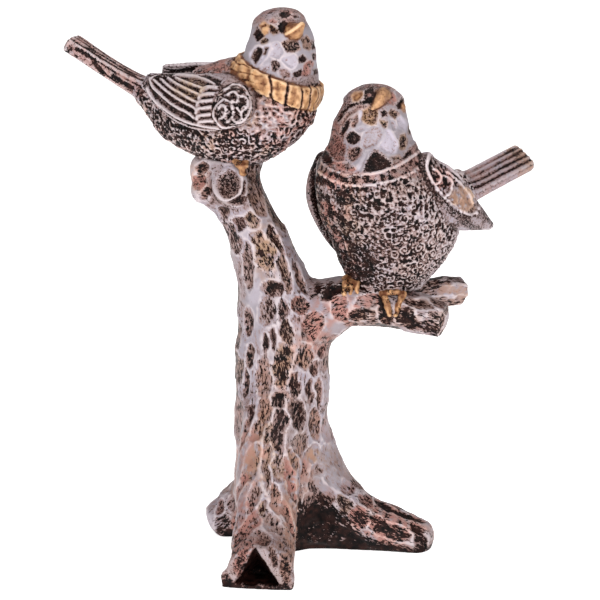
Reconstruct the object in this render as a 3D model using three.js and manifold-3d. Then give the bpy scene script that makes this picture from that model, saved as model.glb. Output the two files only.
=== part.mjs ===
// Two small songbirds perched on a hewn tree stump: a table figurine cast in one piece.
// The upper bird sits on the top of the trunk, the lower one on a branch that leaves the trunk half way up.
// Three roots spread from the foot of the trunk and carry the figurine on their flat undersides.
//
// Millimetres, +Z up. The viewer stands on the -Y side, and +X is to the viewer's right.
// The origin is on the ground, under the middle of the whole figurine.

import * as THREE from 'three';
import { mergeVertices } from 'three/addons/utils/BufferGeometryUtils.js';
import Module from 'manifold-3d';

const wasm = await Module();
wasm.setup();

// Driving dimensions.
const TRUNK_FOOT_Z = -6; // the trunk starts below the ground, and is cut off flat there
const GROUND_SLAB = 40; // depth of what is cut away below the ground
const GOUGE_DEPTH = 1.5; // how deep the gouge cuts lie below the ridges between them
const HOLLOW_FLOOR = 2; // thickness left under the hollow in the front root
const FEATHER_STEP = 0.5; // step from one wing feather to the next, as a share of the wing's half thickness
const TAIL_GROOVE = 0.22; // depth of the grooves along the tail, as a share of its half thickness
const COLLAR_PLEATS = 24; // edges round the upper bird's collar, every second one drawn in
const PLEAT_DEPTH = 0.035; // how far they are drawn in, as a share of the collar's half width
const EYE_PITCH = 16; // degrees from the middle of the head up to its eyes
const ORIGIN_SHIFT = new THREE.Vector3(-1.34, 4.37, 0); // from the trunk's foot to the middle of the figurine

const UPPER_BIRD = { place: [-24.4, 0, 184.4], heading: -18 };
const LOWER_BIRD = { place: [36, 0, 137.5], heading: -130 };

const TAU = Math.PI * 2;
const radians = THREE.MathUtils.degToRad;

// A limb is a closed skin over rings that follow a smooth spine.
// Each row of `spine` is a station: its centre x, y, z, then the half width and the half height of the
// section there. `across` is the direction of the half width. `section` turns an angle round the ring, the
// share of the way along the spine and the half width into a point of the unit section. `domes` are the
// lengths of the rounded ends. `level` keeps every ring level, for a stout limb whose spine bends more
// tightly than its own girth.
function limb({ spine, across, sides = 16, perStation = 2, domes = [0, 0], section = round, level = false }) {
  const curve = (points) => new THREE.CatmullRomCurve3(points, false, 'catmullrom');
  const centres = curve(spine.map((s) => new THREE.Vector3(s[0], s[1], s[2])));
  const sizes = curve(spine.map((s) => new THREE.Vector3(s[3], s[4], 0)));
  const steps = (spine.length - 1) * perStation;
  const domeSteps = 3;
  const rings = [];
  const tangentAt = (share) => (level ? new THREE.Vector3(0, 0, 1) : centres.getTangent(share));
  const addRing = (share, offset, shrink) => {
    const tangent = tangentAt(share);
    const side = new THREE.Vector3(...across);
    side.addScaledVector(tangent, -side.dot(tangent)).normalize();
    const up = new THREE.Vector3().crossVectors(tangent, side);
    const size = sizes.getPoint(share);
    const centre = centres.getPoint(share).addScaledVector(tangent, offset);
    rings.push({ share, centre, side, up, halfWidth: size.x * shrink, halfHeight: size.y * shrink });
  };
  for (let k = domeSteps - 1; k > 0 && domes[0] > 0; k--) {
    const lean = (k / domeSteps) * (Math.PI / 2);
    addRing(0, -domes[0] * Math.sin(lean), Math.cos(lean));
  }
  for (let k = 0; k <= steps; k++) addRing(k / steps, 0, 1);
  for (let k = 1; k < domeSteps && domes[1] > 0; k++) {
    const lean = (k / domeSteps) * (Math.PI / 2);
    addRing(1, domes[1] * Math.sin(lean), Math.cos(lean));
  }

  const points = [];
  for (const ring of rings) {
    for (let k = 0; k < sides; k++) {
      const [w, h] = section((k / sides) * TAU, ring.share, ring.halfWidth);
      points.push(ring.centre.clone()
        .addScaledVector(ring.side, w * ring.halfWidth)
        .addScaledVector(ring.up, h * ring.halfHeight));
    }
  }
  const tip = (share, offset) => centres.getPoint(share).addScaledVector(tangentAt(share), offset);
  const first = points.push(tip(0, -domes[0])) - 1;
  const last = points.push(tip(1, domes[1])) - 1;

  const faces = [];
  const at = (ring, k) => ring * sides + (k % sides);
  for (let r = 0; r + 1 < rings.length; r++) {
    for (let k = 0; k < sides; k++) {
      faces.push(at(r, k), at(r, k + 1), at(r + 1, k + 1), at(r, k), at(r + 1, k + 1), at(r + 1, k));
    }
  }
  for (let k = 0; k < sides; k++) {
    faces.push(first, at(0, k + 1), at(0, k));
    faces.push(last, at(rings.length - 1, k), at(rings.length - 1, k + 1));
  }
  return solid(points, faces);
}

function solid(points, faces) {
  const vertProperties = new Float32Array(points.flatMap((p) => [p.x, p.y, p.z]));
  return new wasm.Manifold(new wasm.Mesh({ numProp: 3, vertProperties, triVerts: new Uint32Array(faces) }));
}

// Sections of a limb, as points of the unit section.
function round(angle) {
  return [Math.cos(angle), Math.sin(angle)];
}

// Wood worked with a gouge: staggered rows of shallow scoops, with a ridge left standing between them.
function gouged(columns, rows) {
  return (angle, share, radius) => {
    const row = share * rows;
    const column = (angle / TAU) * columns + (Math.floor(row) % 2) / 2;
    const u = 2 * (column - Math.floor(column)) - 1;
    const v = 2 * (row - Math.floor(row)) - 1;
    const size = 1 - (GOUGE_DEPTH / radius) * (1 - u * u) * (1 - v * v);
    return [size * Math.cos(angle), size * Math.sin(angle)];
  };
}

// A folded wing: its outer face is bowed, and steps down where one feather lies over the next.
function feathered(feathers, bow, out) {
  return (angle) => {
    const chord = Math.cos(angle);
    const thick = Math.sin(angle);
    const feather = ((chord + 1) / 2) * feathers;
    const step = (feather - Math.floor(feather) - 0.5) * FEATHER_STEP;
    const outer = thick * out > 0 ? step * Math.sqrt(Math.abs(thick)) * out : 0;
    return [chord, thick + out * bow * (1 - chord * chord) + outer];
  };
}

// A wing with a plain rim standing round an inset panel.
function rimmed(inset, out) {
  return (angle) => {
    const chord = Math.cos(angle);
    const thick = Math.sign(Math.sin(angle)) * Math.abs(Math.sin(angle)) ** 0.6;
    const panel = thick * out > 0 && Math.abs(chord) < 0.72 ? inset * out : 0;
    return [chord, thick + out * 0.3 * (1 - chord * chord) - panel];
  };
}

// A closed tail: a flat bar with grooves between its feathers.
function grooved(feathers) {
  return (angle) => {
    const chord = Math.sign(Math.cos(angle)) * Math.abs(Math.cos(angle)) ** 0.7;
    const thick = Math.sign(Math.sin(angle)) * Math.abs(Math.sin(angle)) ** 0.6;
    const groove = Math.abs(Math.cos(chord * feathers * Math.PI * 0.5)) * TAIL_GROOVE;
    return [chord, thick * (1 - groove)];
  };
}

// A pleated band: every second edge of it is drawn in.
function pleated(angle) {
  const size = Math.round(angle / (TAU / COLLAR_PLEATS)) % 2 ? 1 : 1 - PLEAT_DEPTH;
  return [size * Math.cos(angle), size * Math.sin(angle)];
}

function union(pieces) {
  return pieces.reduce((whole, piece) => whole.add(piece));
}

// The tree.
function trunk() {
  return limb({
    across: [1, 0, 0],
    sides: 20,
    section: gouged(10, 13),
    spine: [
      [-9, 6, TRUNK_FOOT_Z, 17, 17],
      [-8.5, 5, 10, 17.8, 17],
      [-8.3, 2, 26, 20, 17],
      [-7.6, 0, 42, 20.1, 17],
      [-7.9, 0, 58, 19.9, 16.5],
      [-7.6, 0, 72, 20.2, 16.5],
      [-7.4, 0, 86, 20.3, 16.5],
      [-8.7, 0, 100, 18, 15.5],
      [-11.3, 0, 113, 15.8, 14],
      [-15, 0, 126, 13.6, 12.5],
      [-20.1, 0, 138, 12.1, 11.6],
      [-24.5, 0, 148, 11.6, 11],
      [-27.2, 0, 157, 12, 10.6],
      [-27, 0, 165, 13, 10.5],
    ],
  });
}

function branch() {
  const main = limb({
    across: [0, 1, 0],
    sides: 14,
    section: gouged(7, 7),
    spine: [
      [-8, 0, 90, 14, 14],
      [3, -1, 98, 13, 14.5],
      [12, -3, 103, 11.5, 13],
      [20, -4.5, 106, 10.5, 11],
      [29, -7, 106, 10, 9.6],
      [40, -10, 104.6, 9.5, 8.8],
      [50, -13, 103, 9, 8.2],
      [58.6, -15.5, 100.9, 8.6, 8],
    ],
    domes: [0, 1.5],
  });
  const prong = limb({
    across: [0, 1, 0],
    sides: 10,
    spine: [
      [33, -5, 106, 7, 7],
      [46, 0, 107.4, 7.2, 7.2],
      [57, 4, 108.2, 7.4, 7.2],
      [67, 8, 108.4, 6.8, 6.4],
    ],
    domes: [0, 2.2],
  });
  const cutFace = new THREE.Vector3(-0.3, 0.85, 0.42).normalize();
  const onFace = new THREE.Vector3(61, 1.5, 107);
  return main.add(prong.trimByPlane(cutFace.toArray(), cutFace.dot(onFace)));
}

function stubs() {
  const cutStub = limb({
    across: [1, 0, 0],
    sides: 12,
    spine: [[-24, 2, 149, 9, 9], [-27, -6, 154, 8, 8.6], [-29.2, -13, 157.4, 6.8, 7.4]],
    domes: [0, 0.6],
  });
  const knob = limb({
    across: [0, 1, 0],
    sides: 12,
    spine: [[-25, 0, 152, 9, 9], [-34, -1, 152.4, 8.4, 8.6], [-40, -1.5, 153, 6.6, 7]],
    domes: [0, 4.5],
  });
  const perch = limb({
    across: [0, 1, 0],
    sides: 10,
    spine: [[-26, 0, 160, 10, 10], [-34, -1, 161, 8.6, 8.4], [-41, -1.5, 161, 5.6, 6]],
    domes: [0, 4],
  });
  return union([cutStub, knob, perch]);
}

function roots() {
  const front = limb({
    across: [1, 0, 0],
    sides: 14,
    section: gouged(7, 5),
    spine: [
      [-8, -1, 76, 12, 12],
      [-10.5, -11, 57, 13, 11.4],
      [-12.8, -21, 39, 13.2, 10.6],
      [-14, -32, 23, 12.8, 10],
      [-15, -44, 12.5, 13, 10.6],
      [-15.8, -56, 7.5, 13, 11.4],
    ],
    domes: [0, 1.5],
  });
  const frontFoot = limb({
    across: [1, 0, 0],
    sides: 12,
    spine: [
      [-15.2, -42, 4, 12.5, 9],
      [-16.4, -50, 3.6, 13.8, 9],
      [-17.4, -57, 3, 15.4, 8],
    ],
    perStation: 1,
    domes: [0, 1.2],
  });
  const right = limb({
    across: [0, 1, 0],
    sides: 14,
    section: gouged(7, 5),
    spine: [
      [-4, 2, 56, 14, 14],
      [4, 2, 37, 13.5, 13.6],
      [13.5, 1.5, 21.6, 12.6, 12.4],
      [26, 0.5, 11, 12, 11.4],
      [39, -1, 6.2, 11, 10.4],
      [50, -3, 2.6, 10, 9],
    ],
    domes: [0, 6],
  });
  const rightFoot = limb({
    across: [0, 1, 0],
    sides: 14,
    section: gouged(7, 3),
    spine: [
      [-6, 4, 8, 15, 12],
      [12, 2.5, 8, 12.6, 11],
      [29, 1, 4.5, 11, 9],
      [45, -1.5, 2, 9, 7],
    ],
  });
  const left = limb({
    across: [-0.5, -0.85, 0],
    sides: 14,
    section: gouged(7, 3),
    spine: [
      [-8, 6, 38, 12, 12],
      [-16, 12, 23, 12.2, 11.6],
      [-25, 17, 11, 11.6, 11.2],
      [-31.6, 19.5, 5.2, 11.2, 10.6],
    ],
    domes: [0, 6],
  });
  return union([front, frontFoot, right, rightFoot, left]);
}

// The hollow in the end of the front root: a tent-shaped cut that narrows inwards, over a thin floor.
function rootHollow() {
  const tent = (x, y, half, height) => [
    [x - half, y, HOLLOW_FLOOR],
    [x + half, y, HOLLOW_FLOOR],
    [x - 0.15 * half, y, height],
  ];
  const corners = [...tent(-18.5, -66, 13, 24), ...tent(-16.5, -42, 3.5, 6)];
  const points = corners.map((p) => new THREE.Vector3(...p));
  return solid(points, [0, 1, 2, 3, 5, 4, 0, 4, 1, 0, 3, 4, 1, 5, 2, 1, 4, 5, 2, 3, 0, 2, 5, 3]);
}

function tree() {
  return union([trunk(), branch(), stubs(), roots()]).subtract(rootHollow());
}

// The birds. Each is built round the middle of its body, facing +X with its left side to +Y, and then turned.
function placed(pieces, { place, heading }) {
  return union(pieces).rotate([0, 0, heading]).translate(place);
}

function mirrored(spine) {
  return spine.map(([x, y, ...rest]) => [x, -y, ...rest]);
}

// The head looks along `face`, in degrees round from the body, and `roll` raises one eye over the other. Each
// row of `beak` is a station: its yaw and pitch from the middle of the head, its distance in head radii, and
// its half sizes.
function headParts({ centre, radius, face, roll, eyeYaw, beak }) {
  const out = (yaw, pitch, reach) => {
    const flat = reach * Math.cos(radians(pitch));
    const x = centre[0] + flat * Math.cos(radians(yaw));
    const y = centre[1] + flat * Math.sin(radians(yaw));
    return [x, y, centre[2] + reach * Math.sin(radians(pitch))];
  };
  const bill = limb({
    across: [-Math.sin(radians(face)), Math.cos(radians(face)), 0],
    sides: 8,
    perStation: 1,
    spine: beak.map(([yaw, pitch, reach, wide, high]) => [...out(yaw, pitch, radius * reach), wide, high]),
  });
  const eyes = [-1, 1].map((side) => limb({
    across: [0, 0, 1],
    sides: 5,
    perStation: 1,
    spine: [
      [...out(face + side * eyeYaw, EYE_PITCH + roll * side, radius * 0.7), 2.4, 2.4],
      [...out(face + side * eyeYaw, EYE_PITCH + roll * side, radius * 0.93), 2, 2],
    ],
    domes: [0, 1],
  }));
  return [bill, ...eyes];
}

function upperBird() {
  const body = limb({
    across: [0, 1, 0],
    sides: 16,
    spine: [
      [-41, 0, 6.4, 5, 5.6],
      [-34, 0, 3.2, 9, 9.6],
      [-26, 0, -0.2, 13.6, 14],
      [-16, 0, -1.4, 17.5, 17.9],
      [-5, 0, -1.6, 19.5, 21.3],
      [6, 0, 0.4, 19.6, 20.4],
      [17, 0, 3.8, 16.7, 16.5],
      [25.4, 0, 8, 11, 10.6],
    ],
    domes: [2, 4],
  });
  const mantle = limb({
    across: [0, 1, 0],
    sides: 10,
    perStation: 1,
    spine: [[-16, 0, 9.5, 9, 7.6], [-4, 0, 13, 11, 8.4], [8, 0, 15.5, 13, 9]],
  });
  const neck = limb({
    across: [0, 1, 0],
    sides: 13,
    spine: [
      [13, 0, 2, 17, 18],
      [16, 0, 12, 16.4, 17],
      [17.2, 0, 21, 15.2, 15.4],
      [17.6, 0, 29, 14, 14.2],
      [16.8, 0, 36.5, 11.4, 11.4],
    ],
    domes: [0, 6.6],
  });
  const collar = limb({
    across: [0, 1, 0],
    sides: COLLAR_PLEATS,
    perStation: 1,
    section: pleated,
    spine: [[14.8, 0, 11, 18.6, 19.8], [16.4, 0, 14.4, 19, 19.6], [17.8, 0, 18, 17.8, 18.2]],
  });
  const tail = limb({
    across: [0, 1, 0],
    section: grooved(3),
    spine: [
      [-30, 0, 4, 7, 6.3],
      [-43, 0, 8.3, 5.4, 4.3],
      [-57, 0, 15.5, 5.6, 3.6],
      [-73, 0, 24.9, 6.8, 3.5],
    ],
    domes: [0, 1.5],
  });
  const leftSpine = [
    [10, 17.8, 7.5, 7, 2.8],
    [3, 19, 7.2, 11.5, 3.4],
    [-6, 19, 6.6, 12.4, 3.4],
    [-15, 17.6, 7.2, 10.8, 3.2],
    [-24, 14.6, 9.2, 8.2, 2.8],
    [-31, 11.6, 11, 5.4, 2.4],
    [-36.5, 9.6, 12.4, 3.4, 1.6],
  ];
  const leftLift = [0, 0.9, 1.3, 1.5, 1.5, 1.3, 1.2]; // how much higher the left wing is held
  const lifted = leftSpine.map(([x, y, z, ...rest], k) => [x, y, z + leftLift[k], ...rest]);
  const [leftWing, rightWing] = [1, -1].map((out) => limb({
    across: [0, -0.55 * out, 0.83],
    sides: 20,
    perStation: 1,
    section: feathered(5, 0.7, out),
    spine: out > 0 ? lifted : mirrored(leftSpine),
    domes: [3, 1],
  }));
  const medallion = limb({
    across: [1, 0, 0],
    sides: 16,
    perStation: 1,
    spine: [[4.4, -18, 4.4, 7.4, 7.4], [6.2, -25.4, 6.6, 7.4, 7.4], [6.4, -26.2, 6.8, 6.4, 6.4]],
  });
  const head = headParts({
    centre: [17, 0, 32],
    radius: 12.6,
    face: -36,
    roll: 0,
    eyeYaw: 64,
    beak: [
      [-42, 10, 0.55, 4.4, 4.4],
      [-44, 12, 0.95, 4, 3.9],
      [-40, 16, 1.17, 2.8, 2.7],
      [-35, 20, 1.36, 0.8, 0.8],
    ],
  });
  return placed([body, mantle, neck, collar, tail, leftWing, rightWing, medallion, ...head], UPPER_BIRD);
}

function lowerBird() {
  const body = limb({
    across: [0, 1, 0],
    sides: 16,
    level: true,
    spine: [
      [0.6, 0.4, -25.5, 13.8, 14.6],
      [-2.2, 0.7, -15, 20.8, 22.6],
      [-4.3, 0.4, -4.5, 24.6, 28.9],
      [-1, 0, 4, 26, 30.5],
      [2.5, 0, 12.5, 25.8, 29.6],
      [6.2, -0.3, 20, 24, 27.3],
      [9.9, -1, 28, 21, 22.8],
      [9.5, -1.4, 36, 17.9, 17.8],
      [10.3, -1, 44, 15.8, 15.5],
      [10.2, 0.5, 52, 12.8, 12.7],
    ],
    domes: [0, 7.6],
  });
  const shoulder = limb({
    across: [1, 0, 0],
    sides: 10,
    spine: [[0.2, 2.8, 21.5, 12, 11.5], [-1, 8.4, 22.6, 9, 7.8], [-1.8, 12.6, 22.4, 5, 4.5]],
    domes: [0, 3],
  });
  const rump = limb({
    across: [0, 1, 0],
    sides: 12,
    spine: [[-12, 0, 5, 17, 16], [-26, 4, 8, 12, 11.5], [-38, 8, 11.5, 8, 7.5]],
    domes: [0, 3],
  });
  const tail = limb({
    across: [0, 0.8, -0.6],
    section: grooved(3),
    spine: [
      [-28, 6, 8, 8, 6],
      [-42, 11, 11.8, 7, 4],
      [-58, 13, 15.8, 7, 3.6],
      [-74.3, 14.3, 19.4, 7, 3.3],
    ],
    domes: [0, 1.5],
  });
  const leftWing = limb({
    across: [0.66, 0.1, -0.75],
    sides: 16,
    section: rimmed(0.5, -1),
    spine: [
      [1.8, 17.8, 27.9, 6.2, 3.6],
      [-2.4, 20.6, 20.7, 10, 4.4],
      [-9.1, 22.2, 14.2, 11.4, 4.6],
      [-17.6, 23.2, 7.7, 9.8, 4.2],
      [-26.8, 24.5, 2.4, 6, 3.2],
      [-34.7, 26.5, -2.2, 1.9, 1.6],
    ],
    domes: [2.5, 1],
  });
  const rightWing = limb({
    across: [1, 0, 0],
    sides: 14,
    perStation: 1,
    section: rimmed(0.5, 1),
    spine: [
      [11.2, -23.9, 26.5, 5, 3],
      [8.2, -27.9, 18, 8.6, 3.6],
      [6.2, -28.9, 8, 9.4, 3.8],
      [4, -24.8, -4, 8, 3.2],
      [1.2, -18.6, -14, 5.6, 2.4],
      [-1.2, -11.9, -20.5, 3, 2],
    ],
    domes: [2.5, 4],
  });
  const head = headParts({
    centre: [9.2, 1.2, 49.5],
    radius: 12.6,
    face: 46,
    roll: -9,
    eyeYaw: 55,
    beak: [
      [70, 50, 0.6, 3.2, 3.6],
      [53, 32, 0.92, 3.1, 3.5],
      [40, 18, 1.08, 2, 2.4],
      [31, 8, 1.18, 0.7, 0.8],
    ],
  });
  return placed([body, shoulder, rump, tail, leftWing, rightWing, ...head], LOWER_BIRD);
}

// Toes that grip the wood, each from the foot to the claw.
function toes() {
  const toe = (from, to, thick) => {
    const middle = from.map((f, k) => (f + to[k]) / 2 + [0, -1, 0.8][k]);
    return limb({
      across: [1, 0, 0],
      sides: 5,
      perStation: 1,
      spine: [[...from, thick, thick], [...middle, thick, thick], [...to, thick * 0.6, thick * 0.6]],
    });
  };
  const lowerNear = [
    ...[33.4, 42.2].map((x) => toe([x, -15.5, 112.6], [0.3 * x + 26.2, -19.4, 104.6], 1.35)),
    toe([33.2, -15.8, 112], [42.6, -15.6, 112.4], 1.3),
  ];
  const lowerFar = [18.5, 21, 23.5].map((x) => toe([x, -8, 117], [x - 0.4, -13.5, 112], 1.3));
  const upper = [
    toe([-25.6, -11, 166.5], [-23, -12.5, 161], 1.7),
    toe([-22.4, -11, 166], [-23, -12.5, 160.5], 1.7),
  ];
  return union([...lowerNear, ...lowerFar, ...upper]);
}

// Everything is one casting, cut off flat at the ground.
function figurine() {
  const whole = union([tree(), upperBird(), lowerBird(), toes()]);
  const slab = mergeVertices(stripped(new THREE.BoxGeometry(400, 400, GROUND_SLAB)));
  slab.translate(0, 0, -GROUND_SLAB / 2);
  const ground = new wasm.Manifold(new wasm.Mesh({
    numProp: 3,
    vertProperties: slab.attributes.position.array,
    triVerts: new Uint32Array(slab.index.array),
  }));
  return whole.subtract(ground).translate(ORIGIN_SHIFT.toArray());
}

function stripped(geometry) {
  geometry.deleteAttribute('normal');
  geometry.deleteAttribute('uv');
  return geometry;
}

function geometryOf(manifold) {
  const mesh = manifold.getMesh();
  const geometry = new THREE.BufferGeometry();
  geometry.setAttribute('position', new THREE.BufferAttribute(mesh.vertProperties, 3));
  geometry.setIndex(new THREE.BufferAttribute(mesh.triVerts, 1));
  geometry.computeVertexNormals();
  return geometry;
}

const castResin = new THREE.MeshStandardMaterial({ color: 0xb9a9a6, roughness: 0.45, metalness: 0.35 });
const figurineMesh = new THREE.Mesh(geometryOf(figurine()), castResin);
figurineMesh.name = 'birds_on_tree';

const group = new THREE.Group();
group.add(figurineMesh);

export default group;
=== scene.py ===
import math

import bpy
import numpy as np
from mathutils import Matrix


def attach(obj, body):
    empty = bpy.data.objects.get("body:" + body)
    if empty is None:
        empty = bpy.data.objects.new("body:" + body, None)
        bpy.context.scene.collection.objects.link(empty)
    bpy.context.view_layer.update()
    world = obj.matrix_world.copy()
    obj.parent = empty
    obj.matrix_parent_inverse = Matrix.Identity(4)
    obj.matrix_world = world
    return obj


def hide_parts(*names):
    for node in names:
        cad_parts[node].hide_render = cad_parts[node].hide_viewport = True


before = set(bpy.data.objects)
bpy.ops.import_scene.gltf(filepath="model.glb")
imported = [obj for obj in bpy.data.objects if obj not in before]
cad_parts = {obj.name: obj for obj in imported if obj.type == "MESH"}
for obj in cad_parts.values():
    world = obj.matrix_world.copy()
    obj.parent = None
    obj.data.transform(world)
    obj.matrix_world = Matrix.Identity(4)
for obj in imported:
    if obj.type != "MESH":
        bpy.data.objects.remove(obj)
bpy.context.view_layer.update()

import openvdb as vdb
from mathutils import Vector

# The stump
# The trunk, its side branch, the cut stubs and the three roots. The real ones are filled casting resin,
# moulded in one with the birds over a master that was modelled in clay and worked with a gouge. Sizes are
# in millimetres from the foot of the trunk, and become metres when a piece's mesh is made.
FOOT_TO_MIDDLE = np.array([-1.34, 4.37, 0.0])  # from the trunk's foot to the middle of the figurine
TAU = 2 * math.pi


def smooth_rows(rows, per_station):
    """Rows of numbers drawn out into a smooth run through all of them (Catmull-Rom)."""
    rows = np.array(rows, float)
    t = np.linspace(0, len(rows) - 1, (len(rows) - 1) * per_station + 1)
    i = np.minimum(t.astype(int), len(rows) - 2)
    f = (t - i)[:, None]
    ends = np.vstack([2 * rows[0] - rows[1], rows, 2 * rows[-1] - rows[-2]])
    a, b, c, d = ends[i], ends[i + 1], ends[i + 2], ends[i + 3]
    return 0.5 * (2 * b + (c - a) * f + (2 * a - 5 * b + 4 * c - d) * f**2 + (3 * b - a - 3 * c + d) * f**3)


def unit(v):
    return v / np.maximum(np.linalg.norm(v, axis=-1, keepdims=True), 1e-9)


def limb(spine, across, domes=(0, 0), section=None, sides=72, per_station=12, level=False):
    """A closed skin over rings along a smooth spine. Each station is x, y, z, half width, half height.
    Level rings are for a stout limb whose spine bends more tightly than its own girth."""
    run = smooth_rows(spine, per_station)
    centre, size = run[:, :3], run[:, 3:5]
    share = np.linspace(0, 1, len(run))
    along = np.tile([0.0, 0, 1], (len(run), 1)) if level else unit(np.gradient(centre, axis=0))
    dome = np.linspace(0, math.pi / 2, 9)[1:-1]
    for end, length in ((0, domes[0]), (-1, domes[1])):
        if length:
            sign = 1 if end else -1
            cap = [centre[end] + sign * length * np.sin(dome)[:, None] * along[end],
                   size[end] * np.cos(dome)[:, None], np.repeat(along[end][None], len(dome), 0)]
            cap_share = np.full(len(dome), share[end])
            if end:
                centre, size, along = (np.vstack(pair) for pair in zip((centre, size, along), cap))
                share = np.append(share, cap_share)
            else:
                centre, size, along = (np.vstack([c[::-1], v]) for c, v in zip(cap, (centre, size, along)))
                share = np.append(cap_share, share)
    side = unit(np.array(across, float) - along * (along @ np.array(across, float))[:, None])
    up = np.cross(along, side)
    angle = np.arange(sides) / sides * TAU
    every_ring = np.ones((len(centre), 1))
    wide, high = np.cos(angle) * every_ring, np.sin(angle) * every_ring
    if section:
        wide, high = section(wide, high, share[:, None])
    points = (centre[:, None] + side[:, None] * (wide * size[:, :1])[..., None]
              + up[:, None] * (high * size[:, 1:])[..., None]).reshape(-1, 3)
    tips = [centre[0] - along[0] * 0.01, centre[-1] + along[-1] * 0.01]
    points = np.vstack([points, tips])
    ring, k = np.meshgrid(np.arange(len(centre) - 1), np.arange(sides), indexing="ij")
    a, b = ring * sides + k, ring * sides + (k + 1) % sides
    quads = np.stack([a, b, b + sides, a + sides], -1).reshape(-1, 4)
    k = np.arange(sides)
    last = (len(centre) - 1) * sides
    caps = np.vstack([np.stack([np.full(sides, len(points) - 2), (k + 1) % sides, k], 1),
                      np.stack([np.full(sides, len(points) - 1), last + k, last + (k + 1) % sides], 1)])
    return {"points": points, "quads": quads, "caps": caps, "centre": centre, "along": along, "side": side,
            "up": up, "size": size, "share": share}


trunk = limb(
    [(-9, 6, -6, 17, 17), (-8.5, 5, 10, 17.8, 17), (-8.3, 2, 26, 20, 17), (-7.6, 0, 42, 20.1, 17),
     (-7.9, 0, 58, 19.9, 16.5), (-7.6, 0, 72, 20.2, 16.5), (-7.4, 0, 86, 20.3, 16.5),
     (-8.7, 0, 100, 18, 15.5), (-11.3, 0, 113, 15.8, 14), (-15, 0, 126, 13.6, 12.5),
     (-20.1, 0, 138, 12.1, 11.6), (-24.5, 0, 148, 11.6, 11),
     (-27.2, 0, 157, 12, 10.6), (-27, 0, 165, 13, 10.5)], (1, 0, 0))
branch = limb(
    [(-8, 0, 90, 14, 14), (3, -1, 98, 13, 14.5), (12, -3, 103, 11.5, 13), (20, -4.5, 106, 10.5, 11),
     (29, -7, 106, 10, 9.6), (40, -10, 104.6, 9.5, 8.8), (50, -13, 103, 9, 8.2),
     (58.6, -15.5, 100.9, 8.6, 8)],
    (0, 1, 0), domes=(0, 1.5))
prong = limb([(33, -5, 106, 7, 7), (46, 0, 107.4, 7.2, 7.2), (57, 4, 108.2, 7.4, 7.2),
              (67, 8, 108.4, 6.8, 6.4)], (0, 1, 0), domes=(0, 2.2))
prong["pared"] = (unit(np.array([-.3, .85, .42])), np.array([61, 1.5, 107]))  # its near side, pared flat
cut_stub = limb([(-24, 2, 149, 9, 9), (-27, -6, 154, 8, 8.6), (-29.2, -13, 157.4, 6.8, 7.4)], (1, 0, 0),
                domes=(0, .6))
perch = limb([(-26, 0, 160, 10, 10), (-34, -1, 161, 8.6, 8.4), (-41, -1.5, 161, 5.6, 6)], (0, 1, 0),
             domes=(0, 4))
knob = limb([(-25, 0, 152, 9, 9), (-34, -1, 152.4, 8.4, 8.6), (-40, -1.5, 153, 6.6, 7)], (0, 1, 0),
            domes=(0, 4.5))
front_root = limb(
    [(-8, -1, 76, 12, 12), (-10.5, -11, 57, 13, 11.4), (-12.8, -21, 39, 13.2, 10.6), (-14, -32, 23, 12.8, 10),
     (-15, -44, 12.5, 13, 10.6), (-15.8, -56, 7.5, 13, 11.4)], (1, 0, 0), domes=(0, 1.5))
front_foot = limb([(-15.2, -42, 4, 12.5, 9), (-16.4, -50, 3.6, 13.8, 9), (-17.4, -57, 3, 15.4, 8)], (1, 0, 0),
                  domes=(0, 1.2))
right_root = limb(
    [(-4, 2, 56, 14, 14), (4, 2, 37, 13.5, 13.6), (13.5, 1.5, 21.6, 12.6, 12.4), (26, .5, 11, 12, 11.4),
     (39, -1, 6.2, 11, 10.4), (50, -3, 2.6, 10, 9)], (0, 1, 0), domes=(0, 6))
right_foot = limb([(-6, 4, 8, 15, 12), (12, 2.5, 8, 12.6, 11), (29, 1, 4.5, 11, 9), (45, -1.5, 2, 9, 7)],
                  (0, 1, 0))
left_root = limb([(-8, 6, 38, 12, 12), (-16, 12, 23, 12.2, 11.6), (-25, 17, 11, 11.6, 11.2),
                  (-31.6, 19.5, 5.2, 11.2, 10.6)], (-.5, -.85, 0), domes=(0, 6))


def clay(parts, grain, reach=6):
    """Puts named parts together as clay is, each rounded into what is there by its own fillet: a distance
    field in cells of the grain, true for reach cells to each side of the skin."""
    low = np.min([p["points"].min(0) for p, _ in parts.values()], 0) - 1.5 * grain * reach
    high = np.max([p["points"].max(0) for p, _ in parts.values()], 0) + 1.5 * grain * reach
    shape = np.ceil((high - low) / grain).astype(int)
    body = np.full(shape, reach * grain, np.float32)
    own = {}
    for name, (part, fillet) in parts.items():
        start = np.floor((part["points"].min(0) - low) / grain).astype(int) - reach - 1
        stop = np.ceil((part["points"].max(0) - low) / grain).astype(int) + reach + 1
        start, stop = np.maximum(start, 0), np.minimum(stop, shape)
        cells = vdb.createLinearTransform(voxelSize=grain)
        grid = vdb.FloatGrid.createLevelSetFromPolygons(
            (part["points"] - low).astype(np.float32), triangles=part["caps"].astype(np.uint32),
            quads=part["quads"].astype(np.uint32), transform=cells, halfWidth=reach)
        here = np.empty(stop - start, np.float32)
        grid.copyToArray(here, ijk=tuple(int(n) for n in start))
        if "pared" in part:
            normal, face = part["pared"]
            steps = [low[k] + grain * np.arange(start[k], stop[k]) for k in range(3)]
            x, y, z = np.meshgrid(*steps, indexing="ij", sparse=True)
            pared_off = normal @ face - (x * normal[0] + y * normal[1] + z * normal[2])
            np.maximum(here, pared_off.astype(np.float32), out=here)
        window = tuple(slice(a, b) for a, b in zip(start, stop))
        there = body[window]
        near = np.clip(0.5 + 0.5 * (there - here) / fillet, 0, 1)
        body[window] = there * (1 - near) + here * near - fillet * near * (1 - near)
        own[name] = (here, start)
    return {"values": body, "low": low, "grain": grain, "own": own, "far": reach * grain,
            "parts": {name: part for name, (part, _) in parts.items()}}


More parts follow.
